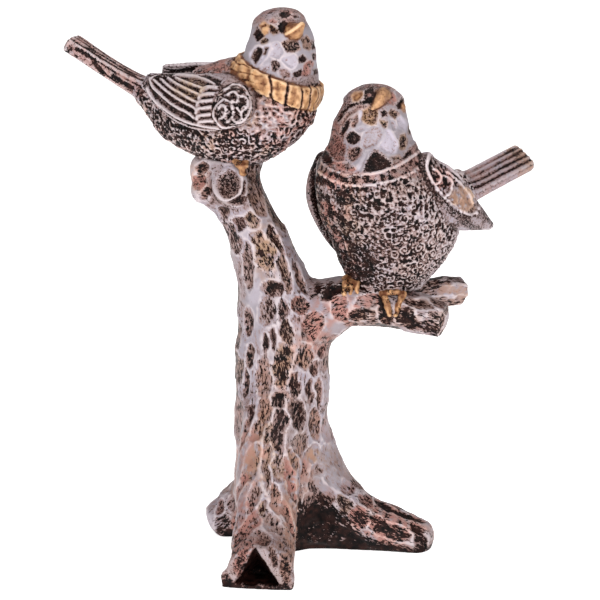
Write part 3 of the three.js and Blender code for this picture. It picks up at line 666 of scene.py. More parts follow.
near_wing = [(10, 17.8, 7.5, 7, 2.8), (3, 19, 7.2, 11.5, 3.4), (-6, 19, 6.6, 12.4, 3.4),
             (-15, 17.6, 7.2, 10.8, 3.2), (-24, 14.6, 9.2, 8.2, 2.8), (-31, 11.6, 11, 5.4, 2.4),
             (-36.5, 9.6, 12.4, 3.4, 1.6)]
higher = (0, .9, 1.3, 1.5, 1.5, 1.3, 1.2)  # how much higher the far wing is held
far_wing = [(x, y, z + up, *rest) for (x, y, z, *rest), up in zip(near_wing, higher)]
near_wing = [(x, -y, *rest) for x, y, *rest in near_wing]
upper = placed({
    "body": limb([(-41, 0, 6.4, 5, 5.6), (-34, 0, 3.2, 9, 9.6), (-26, 0, -.2, 13.6, 14),
                  (-16, 0, -1.4, 17.5, 17.9), (-5, 0, -1.6, 19.5, 21.3), (6, 0, .4, 19.6, 20.4),
                  (17, 0, 3.8, 16.7, 16.5), (25.4, 0, 8, 11, 10.6)], (0, 1, 0), domes=(2, 4)),
    "mantle": limb([(-16, 0, 9.5, 9, 7.6), (-4, 0, 13, 11, 8.4), (8, 0, 15.5, 13, 9)], (0, 1, 0)),
    "neck": limb([(13, 0, 2, 17, 18), (16, 0, 12, 16.4, 17), (17.2, 0, 21, 15.2, 15.4),
                  (17.6, 0, 29, 14, 14.2), (16.8, 0, 36.5, 11.4, 11.4)], (0, 1, 0), domes=(0, 6.6)),
    "collar": limb([(14.8, 0, 11, 18.6, 19.8), (16.4, 0, 14.4, 19, 19.6), (17.8, 0, 18, 17.8, 18.2)],
                   (0, 1, 0)),
    "tail": limb([(-30, 0, 4, 7, 6.3), (-43, 0, 8.3, 5.4, 4.3), (-57, 0, 15.5, 5.6, 3.6),
                  (-73, 0, 24.9, 6.8, 3.5)], (0, 1, 0), domes=(0, 1.5), section=flat_bar),
    "left_wing": limb(far_wing, (0, -.55, .83), domes=(3, 1), section=bowed(.7, 1)),
    "right_wing": limb(near_wing, (0, .55, .83), domes=(3, 1), section=bowed(.7, -1)),
    "medallion": limb([(4.4, -18, 4.4, 7.4, 7.4), (6.2, -25.4, 6.6, 7.4, 7.4), (6.4, -26.2, 6.8, 6.4, 6.4)],
                      (1, 0, 0)),
    **head_parts(centre=(17, 0, 32), radius=12.6, face=-36, roll=0, eye_yaw=64,
                 beak=[(-42, 10, .55, 4.4, 4.4), (-44, 12, .95, 4, 3.9), (-40, 16, 1.17, 2.8, 2.7),
                       (-35, 20, 1.36, .8, .8)]),
}, UPPER_PLACE, UPPER_HEADING)
upper_clay = clay(upper, UPPER_GRAIN)
points, quads = skin(upper_clay)
normals = normals_of(points, quads)


def lines_near(view, lines, half_width):
    """1 on lines drawn smoothly through spots as the viewer sees them, falling to 0 at their half width."""
    away = np.full(len(view), 99.0)
    for line in lines:
        run = smooth_rows(spots(line), 6)
        low, high = run.min(0) - half_width, run.max(0) + half_width
        near = np.where(np.all((view[:, :2] > low) & (view[:, :2] < high), axis=1))[0]
        for a, b in zip(run[:-1], run[1:]):
            rel = view[near, :2] - a
            t = np.clip(rel @ (b - a) / max((b - a) @ (b - a), 1e-9), 0, 1)
            away[near] = np.minimum(away[near], np.linalg.norm(rel - t[:, None] * (b - a), axis=1))
    return 1 - rise(away, .25 * half_width, half_width)


def soft_spot(view, across, up, stretch, outer, inner):
    """1 at a place as the viewer sees it, in millimetres, and 0 beyond the outer radius."""
    return rise(np.hypot((view[:, 0] - across) / stretch, view[:, 1] - up), outer, inner)


def scattered(points, mask, spacing, seed):
    """Places spread unevenly over part of the skin, no two nearer than the spacing."""
    order = np.random.default_rng(seed).permutation(np.where(mask)[0])[:9000]
    picked = [order[0]]
    for k in order[1:]:
        if np.min(np.abs(points[picked] - points[k]).max(1)) > spacing * .5:
            if np.min(np.linalg.norm(points[picked] - points[k], axis=1)) > spacing:
                picked.append(k)
    return np.array(picked)


def lace(points, normals, mask, spacing, strand, seed):
    """Knotted-lace relief: curls of cord, each wound round its own middle. 1 on a cord, 0 between."""
    rng = np.random.default_rng(seed + 1)
    seeds = scattered(points, mask, spacing, seed)
    hand, phase = rng.choice([-1, 1], len(seeds)), rng.uniform(0, TAU, len(seeds))
    kind = rng.random(len(seeds))
    e1 = unit(np.cross(normals[seeds], rng.normal(size=(len(seeds), 3))))
    e2 = np.cross(normals[seeds], e1)
    height = np.zeros(len(points))
    where = np.where(mask)[0]
    bend = np.stack([mottle(points[where], 3, seed + 2 + k) for k in range(3)], 1) - .5
    for chunk in np.array_split(where, max(1, len(where) // 8000)):
        at = points[chunk] + bend[np.searchsorted(where, chunk)] * strand * 1.3
        away = np.linalg.norm(at[:, None] - points[seeds][None], axis=2)
        pick = away.argmin(1)
        first = away[np.arange(len(chunk)), pick]
        away[np.arange(len(chunk)), pick] = 99
        border = away.min(1) - first
        rel = at - points[seeds[pick]]
        x, y = np.einsum("ij,ij->i", rel, e1[pick]), np.einsum("ij,ij->i", rel, e2[pick])
        around, off = np.arctan2(y, x), np.hypot(x, y)
        coil = .5 + .5 * np.cos(TAU * off / (2.1 * strand) + hand[pick] * around + phase[pick])
        petals = .5 + .5 * np.cos(5 * around + phase[pick]) * rise(off, strand, 2.2 * strand)
        cord = np.where(kind[pick] < .68, coil, .35 * coil + .65 * petals)
        height[chunk] = cord * (.25 + .75 * rise(border, .2 * strand, .9 * strand))
    return height


def crumpled(points, wide, narrow, seed):
    """Creases of two widths, as in crumpled foil: 1 on a crease, 0 between."""
    away, narrow_away = (rise(np.abs(mottle(points, size, seed + k) - .5), .03, .16)
                         for k, size in enumerate((wide, narrow)))
    return np.maximum(1 - away, .9 - narrow_away)


def gouge_behind(points, behind, part, rows, columns, seed, tones, above):
    """Gouge cuts on the back of a head, above a height: how deep, how dark and how rubbed they leave it."""
    cuts = [cut for cut in cuts_round(part, rows, columns, seed, tones) if cut[0][2] > above]
    inside, tones, lip = gouge(points, cuts)
    return behind * inside ** .8, behind * tones[:, 0] * rise(inside, .02, .35), behind * .3 * lip


def chip(points, on, rows, paints):
    """Works flat chips into a head. Each row is the chip's outline as the viewer sees it, how far its floor
    is left bare, then how tan, rose and gold it is and how smoothly the pearl is laid. Gives the depth cut
    away."""
    wobble = seen(points + 1.1 * (np.stack([mottle(points, 2.5, 95 + k) for k in range(3)], 1) - .5))
    depth = np.zeros(len(points))
    for outline, dark, tan, rose, gilt, shine in rows:
        inside = within(wobble, outline) & on
        rim = [outline + " " + " ".join(outline.split()[:2])]
        border = lines_near(wobble, rim, 1.3)
        depth += .6 * inside * (1 - border)
        paints["bare"] = np.where(inside, dark * (1 - .65 * border), paints["bare"])
        paints["pearl"] = np.where(inside, shine, paints["pearl"])
        tint = np.array([tan, rose, gilt]) * (1 - .35 * border)[:, None]
        paints["tints"] = np.where(inside[:, None], tint, paints["tints"])
        crest = on * lines_near(wobble, rim, .42) * rise(mottle(points, 3, 98), .3, .65)
        paints["rubbed"] = np.maximum(paints["rubbed"], (.35 + .6 * shine) * (gilt < .5) * crest)
    return depth


def across_wing(part, points):
    """Where points lie on a wing or tail: the share of the way to its tip, and across it from -1 to 1."""
    near = np.linalg.norm(points[:, None] - part["centre"][None, ::3], axis=2).argmin(1) * 3
    rel = points - part["centre"][near]
    across = np.einsum("ij,ij->i", rel, part["side"][near])
    return part["share"][near], across / np.maximum(part["size"][near, 0], 1)


def ridge(value, spacing, sharp=2.5):
    """Ridges at whole steps of the spacing: 1 on a ridge, 0 in the furrow."""
    return np.abs(np.cos(math.pi * value / spacing)) ** sharp


def finish_bird(name, field, height, paints, grit_seed):
    """Works a bird's relief into its skin, with a fine grit over it, evens its paint and makes its piece."""
    height = height + (mottle(points, .9, grit_seed) - .5) * .12
    strokes = along_grain(field, points)
    worked = points + normals * evened(height, quads, 1)[:, None]
    bare = np.clip(evened(paints["bare"], quads, 1), 0, 1)
    tints, pearl = evened(paints["tints"], quads, 2), evened(paints["pearl"], quads, 3)
    attributes = paint(worked, quads, bare, tints, pearl, paints["rubbed"], strokes)
    moulding(name, worked, quads, attributes, plumage)


# Chips on the head and throat as they show from the front: outline, then dark, tan, rose, gold and pearl.
# Their dark and pearl are partly paint and partly painted light and shade on each flat chip.
UPPER_CHIPS = [
    ("249,52 255,45 263,46 271,43 271,49 268,57 262,64 256,68 251,62", 0, 0, 0, 0, 1.1),
    ("252,51 257,46 262,48 263,53 259,60 255,65 251,59", 1, .2, 0, 0, 0),
    ("264,47 269,46 268,51 265,57 262,55", .6, .2, 0, 0, 0),
    ("270,45 275,40 281,44 284,53 279,60 271,58 268,56 272,49", 0, 0, 0, 0, .75),
    ("253,34 257,27 262,31 265,36 262,40 256,42", 1.3, 0, 0, 0, 0),
    ("259,24 264,21 268,24 268,31 262,32 260,29", .2, 0, 0, 1, 0),
    ("268,23 275,25 279,33 273,35 268,31", .9, .5, 0, .3, 0),
    ("278,22 286,20 291,23 287,30 282,34 278,32", 1.4, 0, 0, 0, 0),
    ("277,14 282,10 289,11 291,15 286,19 280,18", 1.3, 0, 0, 0, 0),
    ("265,12 272,9 276,11 270,14", 1, 0, 0, 0, 0),
    ("291,15 297,13 300,18 294,20", .5, 0, 0, 0, .3),
    ("272,17 278,20 274,24 268,21", .1, 0, 1, 0, 0),
    ("257,40 264,37 270,41 266,45 259,45", .4, .9, 0, 0, 0),
    # painted shade on the chip under the beak
    ("281,42 288,38 298,42 301,50 292,54 284,52", .5, .35, .1, 0, 0),
    ("300,38 306,35 313,44 309,51 303,49", .25, .8, .3, 0, .2),
    ("311,41 317,40 317,48 312,49", .9, 0, 0, 0, 0),
    ("296,58 303,54 309,57 306,63 299,64", .85, 0, 0, 0, 0),
    ("311,54 317,51 317,59 313,61", 1, 0, 0, 0, 0),
    ("284,56 294,54 298,61 293,69 285,66 281,60", 0, 0, 0, 0, .8),
    ("292,72 300,68 305,72 302,78 294,79", .8, 0, 0, 0, 0),
    ("312,69 317,67 319,80 313,79", .85, 0, 0, 0, 0),
    ("270,60 276,58 281,65 278,74 271,71", .6, 0, 0, 0, .1),
    ("303,65 309,59 315,62 311,70 308,83 301,81", .1, 0, 1.2, 0, .2),
    ("279,67 288,68 292,74 288,80 279,76", .3, 0, .2, 0, .4),
    ("262,66 270,62 271,71 266,74 259,70", 0, 0, 0, 0, .9),
]
part_of, view = owner(upper_clay, points), seen(points)
facing = rise(-(normals @ LOOK), .1, .4)
x, y, z = ((points - UPPER_PLACE) @ turn_to(UPPER_HEADING).T).T
on_head = (part_of == "neck") & (z > 17)
behind = on_head * rise(facing, .6, .05)
depth, bare, rubbed = gouge_behind(points, behind, upper["neck"][0], 5, 7, 21, ((.1, .7), .3, .3),
                                   UPPER_PLACE[2] + 20)
height = -.9 * depth
bare = .9 * bare + .25 * behind * rise(mottle(points, 3, 70), .4, .7)
pearl = .64 * on_head * rise(z, 39, 34) * (1 - .7 * behind)
paints = {"bare": bare, "tints": np.zeros((len(points), 3)), "pearl": pearl, "rubbed": rubbed}
height -= chip(points, on_head & (facing > .1), UPPER_CHIPS, paints)
bare, tints, pearl, rubbed = paints.values()

# Both wings: ridged quills with barbs between them towards the tip, and soft lobes over their roots.
for wing in ("left_wing", "right_wing"):
    on = part_of == wing
    share, w = across_wing(upper[wing][0], points[on])
    quill = rise(share, .40 + .05 * np.cos(w * 9), .47 + .05 * np.cos(w * 9))
    fan, lobes = ridge(w + .25 * (share - .7), .4, 3), ridge(w + .1, .4, 1.5)
    barbs = .5 + .5 * np.sin(share * 260 + w * 16)
    crest = np.maximum(fan, rise(np.abs(w), .86, .97))
    covered = (1 - quill) * rise(share, .2, .3)
    height[on] += quill * (crest - .62 + .12 * barbs * (1 - fan)) + covered * (.45 * lobes - .1)
    dark = np.maximum(quill * rise(1 - crest, .3, .62) * .95, covered * rise(1 - lobes, .5, .9) * .8)
    bare[on] = np.maximum(bare[on], dark)

# The near wing's feathers as they show: ridges that fan out from its tip, and the coverts lying over their
# roots.
QUILLS = (
    "147,88 152,97 160,105 170,113 180,119 190,123 202,126 216,128 230,128",
    "150,80 153,87 160,94 169,102 178,108 188,113 194,118",
    "154,80 163,88 172,95 183,102 193,107 197,111",
    "160,78 170,87 180,93 190,99 199,103",
    "168,78 177,84 187,89 200,95",
    "176,78 188,83 202,88",
    "150,79 160,76 175,75 192,76 206,80 214,84")
COVERTS = (
    "218,88 210,87 203,89 201,92",
    "217,94 207,94 200,96 199,99",
    "214,100 206,101 199,102 197,106",
    "213,107 205,108 198,109 196,113",
    "213,114 205,115 198,116 197,119",
    "216,121 207,121 200,122 198,124")
FEATHERED = "140,72 200,72 222,80 214,95 210,112 216,126 228,131 190,128 165,114 144,95"
near = (part_of == "right_wing") & (facing > .1)
feathered = near & within(view, FEATHERED)
drawn_quills = feathered * np.maximum(lines_near(view, QUILLS, .9), .95 * lines_near(view, COVERTS, 1.3))
grit = mottle(points, 1.1, 33)
height = np.where(feathered, 1.25 * drawn_quills - .75 + .25 * grit, height)
bare = np.where(feathered, (1 - rise(drawn_quills, .05, .5)) * (.3 + .55 * rise(grit, .3, .6)), bare)
shoulder = near & ~feathered
height = np.where(shoulder, .45 * (mottle(points, 2.2, 34) - .5), height)
bare = np.where(shoulder, .55 * rise(mottle(points, 2.6, 35), .5, .75), bare)
tan_barbs = feathered * soft_spot(view, -45, 87, 1.5, 7, 2)
tints[:, 0] = np.maximum(tints[:, 0], .8 * tan_barbs)
bare = np.where(tan_barbs > .3, bare * .6, bare)

# The tail: ridges along it, and on its near side thin furrows, three deeper cuts, and the end and lower
# edge scuffed.
on = part_of == "tail"
share, w = across_wing(upper["tail"][0], points[on])
quills = ridge(w, .45, 1.3)
height[on] += .55 * (quills - .6)
bare[on] = (rise(1 - quills, .3, .8) * (.55 + .6 * mottle(points[on], 6, 31))
            + .3 * rise(mottle(points[on], 2.5, 32), .5, .8))
tints[on, 1] = .5
TAIL_FURROWS = "76,42 100,54 124,69 147,83", "88,56 108,68 128,80 147,90", "96,68 112,79 132,92"
TAIL_CUTS = "77,49 86,54 94,60", "94,63 99,68 104,74", "113,76 122,82 132,88"
TAIL_LOWER_EDGE = "70,50 80,60 92,69 106,78"
near_side = on & (facing > .1)
furrow, tail_cut = (near_side * lines_near(view, lines, half_width)
                    for lines, half_width in ((TAIL_FURROWS, .6), (TAIL_CUTS, 1.3)))
scuffed = near_side * np.maximum(rise(view[:, 0], -92.5, -95.5), lines_near(view, [TAIL_LOWER_EDGE], 1.2))
height -= .35 * furrow + .5 * tail_cut
bare = np.maximum(bare, .95 * furrow * rise(mottle(points, 4, 68), .25, .55) + 1.3 * tail_cut
                  + .9 * scuffed * rise(mottle(points, 1.8, 69), .42, .6))

# The scroll on the near wing's shoulder, simplified to its main curls over a stippled ground.
SCROLL = (
    "225,90 234,85 244,88 250,101 249,112 243,121 233,127",
    "224,99 215,108 214,117 222,127 233,127",
    "224,99 231,104 233,115 227,122",
    "228,95 233,92 238,96 236,103 231,101",
    "238,96 246,98 247,106 241,112 237,108",
    "241,112 241,119 236,122 232,118",
    "219,108 222,105 226,109 224,116 219,119")
SCROLL_GROUND = "212,104 222,96 222,88 234,82 247,86 253,100 252,113 245,124 232,130 220,129 211,118"
around = within(view, SCROLL_GROUND) & (facing > .3) & (y < 0)
scroll = lines_near(view, SCROLL, .75) * around
dots = mottle(points, 1.3, 41)
height = np.where(around, .85 * scroll - .35 + .4 * rise(dots, .5, .7), height)
bare = np.where(around, (1 - scroll) * rise(dots, .75, .4), bare)

# The breast and the smoother back. The real cords are down to half a millimetre thick, and are drawn a
# little coarser so that the mesh can hold them.
body = (np.isin(part_of, ["body", "mantle"]) | ((part_of == "neck") & (z < 13))
        | ((part_of == "medallion") & ~around))
knots = lace(points, normals, body, 3.1, .8, 51)
coarse = mottle(points, 1.7, 52)
knots = np.where(mottle(points, 8, 55) > .62, knots, .3 * knots + .75 * crumpled(points, 2.3, 1.7, 53))
top = rise(z, 14, 19) * rise(-x, -12, 0)
height[body] += ((1 - top) * (knots - .5) + .5 * (coarse - .5))[body]
dark = .1 + 1.1 * rise(.75 * knots + .35 * coarse, .66, .32) + .3 * rise(mottle(points, 3, 65), .5, .75)
bare[body] = np.maximum(bare, (1 - top) * dark + top * .3 * rise(coarse, .6, .4))[body]
# Painted light and shade: a pool of light on the breast below the ruff, lighter and more pearl, and painted
# shade on the body under the near wing.
light = body * soft_spot(view, -16, 76, 1.6, 13, 5) * facing
shade = body * soft_spot(view, -54, 68, 1.5, 12, 6) * facing
pearl = np.maximum(pearl, .5 * light)
bare[body] += (.35 * shade - .35 * light)[body]
ruddy = rise(view[:, 0], -24, -4) * rise(mottle(points, 4, 66), .3, .6)
rose = .2 + .5 * rise(mottle(points, 5, 56), .5, .75) + .5 * top + .6 * ruddy
tints[:, 1] = np.where(body, rose, tints[:, 1])
tints[:, 0] = np.where(body, .1 + .5 * rise(mottle(points, 6, 57), .55, .8), tints[:, 0])
crown = on_head * rise(z, 36, 41) * rise(mottle(points, 4, 67), .35, .65)
tints[:, 1] = np.maximum(tints[:, 1], .6 * crown)
FAR_SLOT = "152,79 162,73 180,69 198,66 193,71 176,75 160,79"  # between the back and the far wing
# The slot is black ground and painted shade between the back and the far wing.
far_slot = within(view, FAR_SLOT) & (facing > .05)
bare = np.where(far_slot, 1.4, bare)
height -= .6 * far_slot

# The gilded ruff with its slits and creases, the beak and the eyes.
BEAK_RIDGE = "281,37 288,33 296,28 303,22"
beak_ridge = lines_near(view, [BEAK_RIDGE], .9) * (part_of == "beak")
ruff = part_of == "collar"
beak_and_eyes = np.isin(part_of, ["beak", "left_eye", "right_eye"])
tints[ruff | beak_and_eyes] = (0, 0, 1)
turn = np.arctan2(y, x - 16.4) + .12 * (mottle(points, 4, 64) - .5)
slit = rise(np.abs(np.sin(turn * 12 + 1.2 * np.sin(turn * 3))), .36, .1) * rise(x, 10, 20)
slit *= rise(z - 4.5 * np.sin(turn * 12), 17.5, 14.5)
crease = 1 - rise(np.abs(np.sin(z * 1.15 + 1.5 * turn + 1.6 * mottle(points, 5, 58))), 0, .4)
crease *= 1 - rise(x, 8, 20)
height += ruff * (-.9 * slit - .6 * crease + 1.1 * (mottle(points, 2, 59) - .5))
tints[:, 2] *= 1 - ruff * slit
bare = np.where(ruff, np.maximum(slit, .75 * crease) + .5 * rise(mottle(points, 1.7, 60), .55, .8), bare)
bare[beak_and_eyes] = .35 * rise(mottle(points[beak_and_eyes], 1.5, 62), .6, .8)
height += .5 * beak_ridge

rubbed = (rubbed + .45 * body * (1 - top) * rise(knots, .55, .95) - .9 * (part_of == "beak")
          + 1.2 * beak_ridge + .45 * drawn_quills + .8 * lines_near(view, SCROLL, .8) * around)
plumage = dry_brushed("resin_plumage_dry_brushed", scuff=.8)
paints = {"bare": bare, "tints": tints, "pearl": pearl, "rubbed": rubbed}
finish_bird("upper_bird", upper_clay, height, paints, 61)


# The lower bird
# It perches on the branch, its breast to the viewer and its head turned to its left. It is of the same
# resin, cast in one with the rest. Its head and throat are chipped into facets over a ruffled neckline, and
# its breast is covered in curls of cord.
LOWER_PLACE, LOWER_HEADING = (36, 0, 137.5), -130
LOWER_GRAIN = .51
FILLETS.update(rump=4, tail=3, left_wing=.8, right_wing=1.6, shoulder=6)
lower = placed({
    "body": limb([(.6, .4, -25.5, 13.8, 14.6), (-2.2, .7, -15, 20.8, 22.6), (-4.3, .4, -4.5, 24.6, 28.9),
                  (-1, 0, 4, 26, 30.5), (2.5, 0, 12.5, 25.8, 29.6), (6.2, -.3, 20, 24, 27.3),
                  (9.9, -1, 28, 21, 22.8), (9.5, -1.4, 36, 17.9, 17.8), (10.3, -1, 44, 15.8, 15.5),
                  (10.2, .5, 52, 12.8, 12.7)], (0, 1, 0), domes=(0, 7.6), level=True),
    "rump": limb([(-12, 0, 5, 17, 16), (-26, 4, 8, 12, 11.5), (-38, 8, 11.5, 8, 7.5)], (0, 1, 0),
                 domes=(0, 3)),
    "tail": limb([(-28, 6, 8, 8, 6), (-42, 11, 11.8, 7, 4), (-58, 13, 15.8, 7, 3.6),
                  (-74.3, 14.3, 19.4, 7, 3.3)], (0, .8, -.6), domes=(0, 1.5), section=flat_bar),
    "left_wing": limb([(1.8, 17.8, 27.9, 6.2, 3.6), (-2.4, 20.6, 20.7, 10, 4.4),
                       (-9.1, 22.2, 14.2, 11.4, 4.6), (-17.6, 23.2, 7.7, 9.8, 4.2),
                       (-26.8, 24.5, 2.4, 6, 3.2), (-34.7, 26.5, -2.2, 1.9, 1.6)], (.66, .1, -.75),
                      domes=(2.5, 1), section=bowed(.3, -1)),
    "right_wing": limb([(11.2, -23.9, 26.5, 5, 3), (8.2, -27.9, 18, 8.6, 3.6), (6.2, -28.9, 8, 9.4, 3.8),
                        (4, -24.8, -4, 8, 3.2), (1.2, -18.6, -14, 5.6, 2.4), (-1.2, -11.9, -20.5, 3, 2)],
                       (1, 0, 0), domes=(2.5, 4), section=bowed(.3, 1)),
    "shoulder": limb([(.2, 2.8, 21.5, 12, 11.5), (-1, 8.4, 22.6, 9, 7.8), (-1.8, 12.6, 22.4, 5, 4.5)],
                     (1, 0, 0), domes=(0, 3)),
    **head_parts(centre=(9.2, 1.2, 49.5), radius=12.6, face=46, roll=-9, eye_yaw=55,
                 beak=[(70, 50, .6, 3.2, 3.6), (53, 32, .92, 3.1, 3.5), (40, 18, 1.08, 2, 2.4),
                       (31, 8, 1.18, .7, .8)]),
}, LOWER_PLACE, LOWER_HEADING)
lower_clay = clay(lower, LOWER_GRAIN)
points, quads = skin(lower_clay)
normals = normals_of(points, quads)
part_of, view = owner(lower_clay, points), seen(points)
facing = rise(-(normals @ LOOK), .1, .4)
x, y, z = ((points - LOWER_PLACE) @ turn_to(LOWER_HEADING).T).T

# The head and throat. The neckline runs where the viewer sees it, and on round the back as a level line.
# The throat is pearl between its chips, and the rest is darker and rosy.
NECKLINE = "321,160 328,168 345,175 360,175 375,173 395,167 410,158 424,148"
SECOND_NECKLINE = "319,172 332,180 350,185 372,185 400,178 418,168 430,158"
HEAD = "300,60 440,60 440,130 424,147 410,157 395,166 375,172 360,174 345,174 328,167 318,156 300,150"
THROAT = "352,114 372,106 400,104 412,118 418,140 402,158 376,172 352,170 341,152 346,126"
# Chips on the head and throat as they show from the front: outline, then dark, tan, rose, gold and pearl.
# Their dark and pearl are partly paint and partly painted light and shade on each flat chip.
LOWER_CHIPS = [
    ("363,91 369,87 375,88 377,94 374,101 370,105 362,104 357,106 350,109 344,115 "
     "340,122 336,121 341,112 347,105 353,103 359,101 364,98", 1.4, 0, 0, 0, 0),
    ("350,97 353,92 361,91 364,96 358,102 352,102", 0, 0, 0, 1, 0),
    ("366,93 371,91 372,95 368,97", 0, 0, 1.2, 0, 0),
    ("388,89 395,91 397,99 393,105 387,102", 0, 0, 1.3, 0, .2),
    ("396,87 401,90 403,95 398,98 395,92", 0, 0, .5, 0, .6),
    ("374,83 390,85 393,89 386,90 375,88", .3, 0, 1, 0, 0),
    ("401,96 405,101 405,109 400,110 396,105", 1.3, 0, 0, 0, 0),
    ("402,103 406,103 406,110 402,110", 0, 0, 0, 1, 0),
    ("346,111 357,107 359,110 352,116 346,122 342,128 339,123", .1, .2, .2, 0, .2),
    ("341,127 346,119 352,117 349,127 344,136 340,134", 1.05, 0, .4, 0, 0),
    ("350,118 357,112 359,120 356,128 350,127", .3, .4, .5, 0, .2),
    ("358,112 362,109 365,116 362,124 358,122", 0, 0, 0, 0, .9),
    # painted shade on the throat under the beak
    ("362,110 371,106 379,110 379,118 374,126 366,125 361,119", .45, 1.2, .2, .25, 0),
    ("381,112 386,109 387,115 383,118", 1.4, 0, 0, 0, 0),
    ("380,119 388,121 386,129 381,126", .35, .9, 0, 0, 0),
    ("387,112 394,108 401,116 394,120", .35, .8, .2, 0, 0),
    ("388,119 395,120 398,129 391,131", 0, 0, 0, 0, .65),
    ("396,118 402,115 408,124 406,131 399,129", 0, 0, 0, 0, .9),
    ("408,126 412,124 412,133 408,134", .8, 0, 0, 0, 0),
    ("354,128 362,126 369,129 364,134 357,133", 0, 0, 0, 0, .7),
    ("364,132 372,126 380,127 384,136 380,143 373,149 364,150 361,142", 0, 0, 0, 0, .66),
    ("345,136 352,130 359,133 362,139 357,145 348,145", .8, 0, 0, 0, 0),
    ("384,128 391,130 395,136 399,143 396,152 388,156 381,151 379,147 385,137", 0, 0, 0, 0, .95),
    ("400,136 406,133 408,140 404,151 400,150 398,143", .45, .7, 0, 0, 0),
    ("348,148 358,146 363,150 358,158 352,163 346,158", .45, .3, .5, 0, 0),
    ("364,153 369,149 367,160 362,172 354,173 357,166", 0, 0, 0, 0, .7),
    ("374,150 381,153 391,160 392,168 378,173 364,172 363,164 368,157", .95, 0, 0, 0, 0),
    ("403,154 409,149 413,153 408,159 402,160", .75, 0, 0, 0, 0),
    ("325,141 334,132 341,137 345,146 345,158 338,162 329,157", .3, 0, 1, 0, 0),
    ("333,161 348,161 357,168 353,173 338,169", .15, 0, 1.6, 0, 0),
    ("320,152 327,150 333,160 330,166 321,161", 1.3, 0, 0, 0, 0),
    ("390,157 398,154 401,158 393,163", 0, 1, 0, 0, 0),
]
GREY_FACET = "364,132 372,126 380,127 384,136 380,143 373,149 364,150 361,142"  # the chip darkened as painted shade
above_neckline = z - 25.5 - .1 * y + .05 * x > 0
flesh = np.isin(part_of, ["body", "shoulder"])
on_head = np.where(facing > .2, within(view, HEAD), above_neckline) & flesh
behind = on_head * rise(facing, .6, .05)
depth, bare, rubbed = gouge_behind(points, behind, lower["body"][0], 14, 8, 22, ((.1, .7), .3, .4),
                                   LOWER_PLACE[2] + 28)
height = -1.1 * depth
throat = within(view, THROAT)
shown = (on_head | flesh & (z > 24)) & (facing > .12)
pearl = np.where(shown & throat, .5, 0)
bare = np.where(shown & ~throat, .15 + .3 * rise(mottle(points, 3, 94), .4, .7), bare)
tints = np.zeros((len(points), 3))
tints[:, 1] = np.where(shown & ~throat, .45, 0)
paints = {"bare": bare, "tints": tints, "pearl": pearl, "rubbed": rubbed}
height -= chip(points, shown, LOWER_CHIPS, paints)
bare, tints, pearl, rubbed = paints.values()
# Painted shade: the grey chip is darker than the lavender chip beside it.
rubbed -= .85 * within(view, GREY_FACET) * shown
tints[:, 1] += .5 * on_head * rise(view[:, 0], 20, 12) * facing

# The breast and back. The real cords are down to half a millimetre thick, and are drawn a little coarser so
# that the mesh can hold them. Towards its right side the breast is blotched tan and rose over the dark
# ground.
belly = np.isin(part_of, ["body", "rump"]) & ~on_head & (z < 34)
curl = lace(points, normals, belly, 3.5, .68, 71)
coarse = mottle(points, 1.6, 72)
creases = crumpled(points, 2.2, 1.6, 76)
curl = np.where(mottle(points, 7, 78) > .45, np.maximum(curl, .5 * creases), .3 * curl + .75 * creases)
height[belly] += (1.15 * curl - .6 + .35 * (coarse - .5))[belly]
right_side = rise(view[:, 0], 32, 8)
blotches = mottle(points, 3.4, 79)
dark = 1.05 * rise(.85 * curl + .3 * coarse, .66, .34) + .4 * (mottle(points, 5, 75) - .32)
dark += right_side * (1.3 * rise(blotches, .5, .62) - .75 * rise(blotches, .46, .3))
bare[belly] = dark[belly]
rose = belly * (.08 + 1.2 * right_side * rise(mottle(points, 7, 73), .35, .6))
tan = belly * (.1 + .9 * right_side * rise(mottle(points, 6, 74), .45, .65))
tints[:, :2] = np.maximum(tints[:, :2], np.stack([tan, rose], 1))
# Darker where the breast sits on the branch at its lower left: partly the dark ground and partly painted
# shade.
bare = bare + .7 * belly * soft_spot(view, 23, 14, 1.4, 10, 4)

# The ruffled neckline: two raised edges with a rough band between them.
BAND = ("319,158 328,168 345,175 360,175 375,173 395,167 410,158 424,148 432,158 418,168 400,178 372,185 "
        "350,185 332,180 317,172")
band = belly & (facing > .2) & within(view, BAND)
height = np.where(band, .3 * (coarse - .3), height)
bare = np.where(band, rise(coarse, .55, .35), bare)
upper_edge, second_edge = (lines_near(view, [line], 1) for line in (NECKLINE, SECOND_NECKLINE))
upper_edge *= .35 + .65 * rise(view[:, 0], 22, 33)
edge = np.maximum(upper_edge, .8 * second_edge) * facing * (part_of == "body")
height += .7 * edge
bare *= 1 - edge

# Both wings: a sunk panel inside a raised rim, stippled at the root and ridged towards the tip. Of the
# right wing only the edge shows.
for wing in ("left_wing", "right_wing"):
    on = part_of == wing
    share, w = across_wing(lower[wing][0], points[on])
    fan, fine = ridge(w, .34, 1.6), mottle(points[on], 1.2, 81)
    panel = rise(np.abs(w), .74, .62) * rise(share, .06, .12) * rise(share, .98, .86)
    height[on] += panel * (-.9 + .7 * np.where(share > .55, fan, rise(fine, .45, .7)))
    bare[on] = .9 * panel * np.where(share > .55, rise(fan, .6, .3), rise(fine, .6, .4))
bare[on] = .2 + .95 * panel

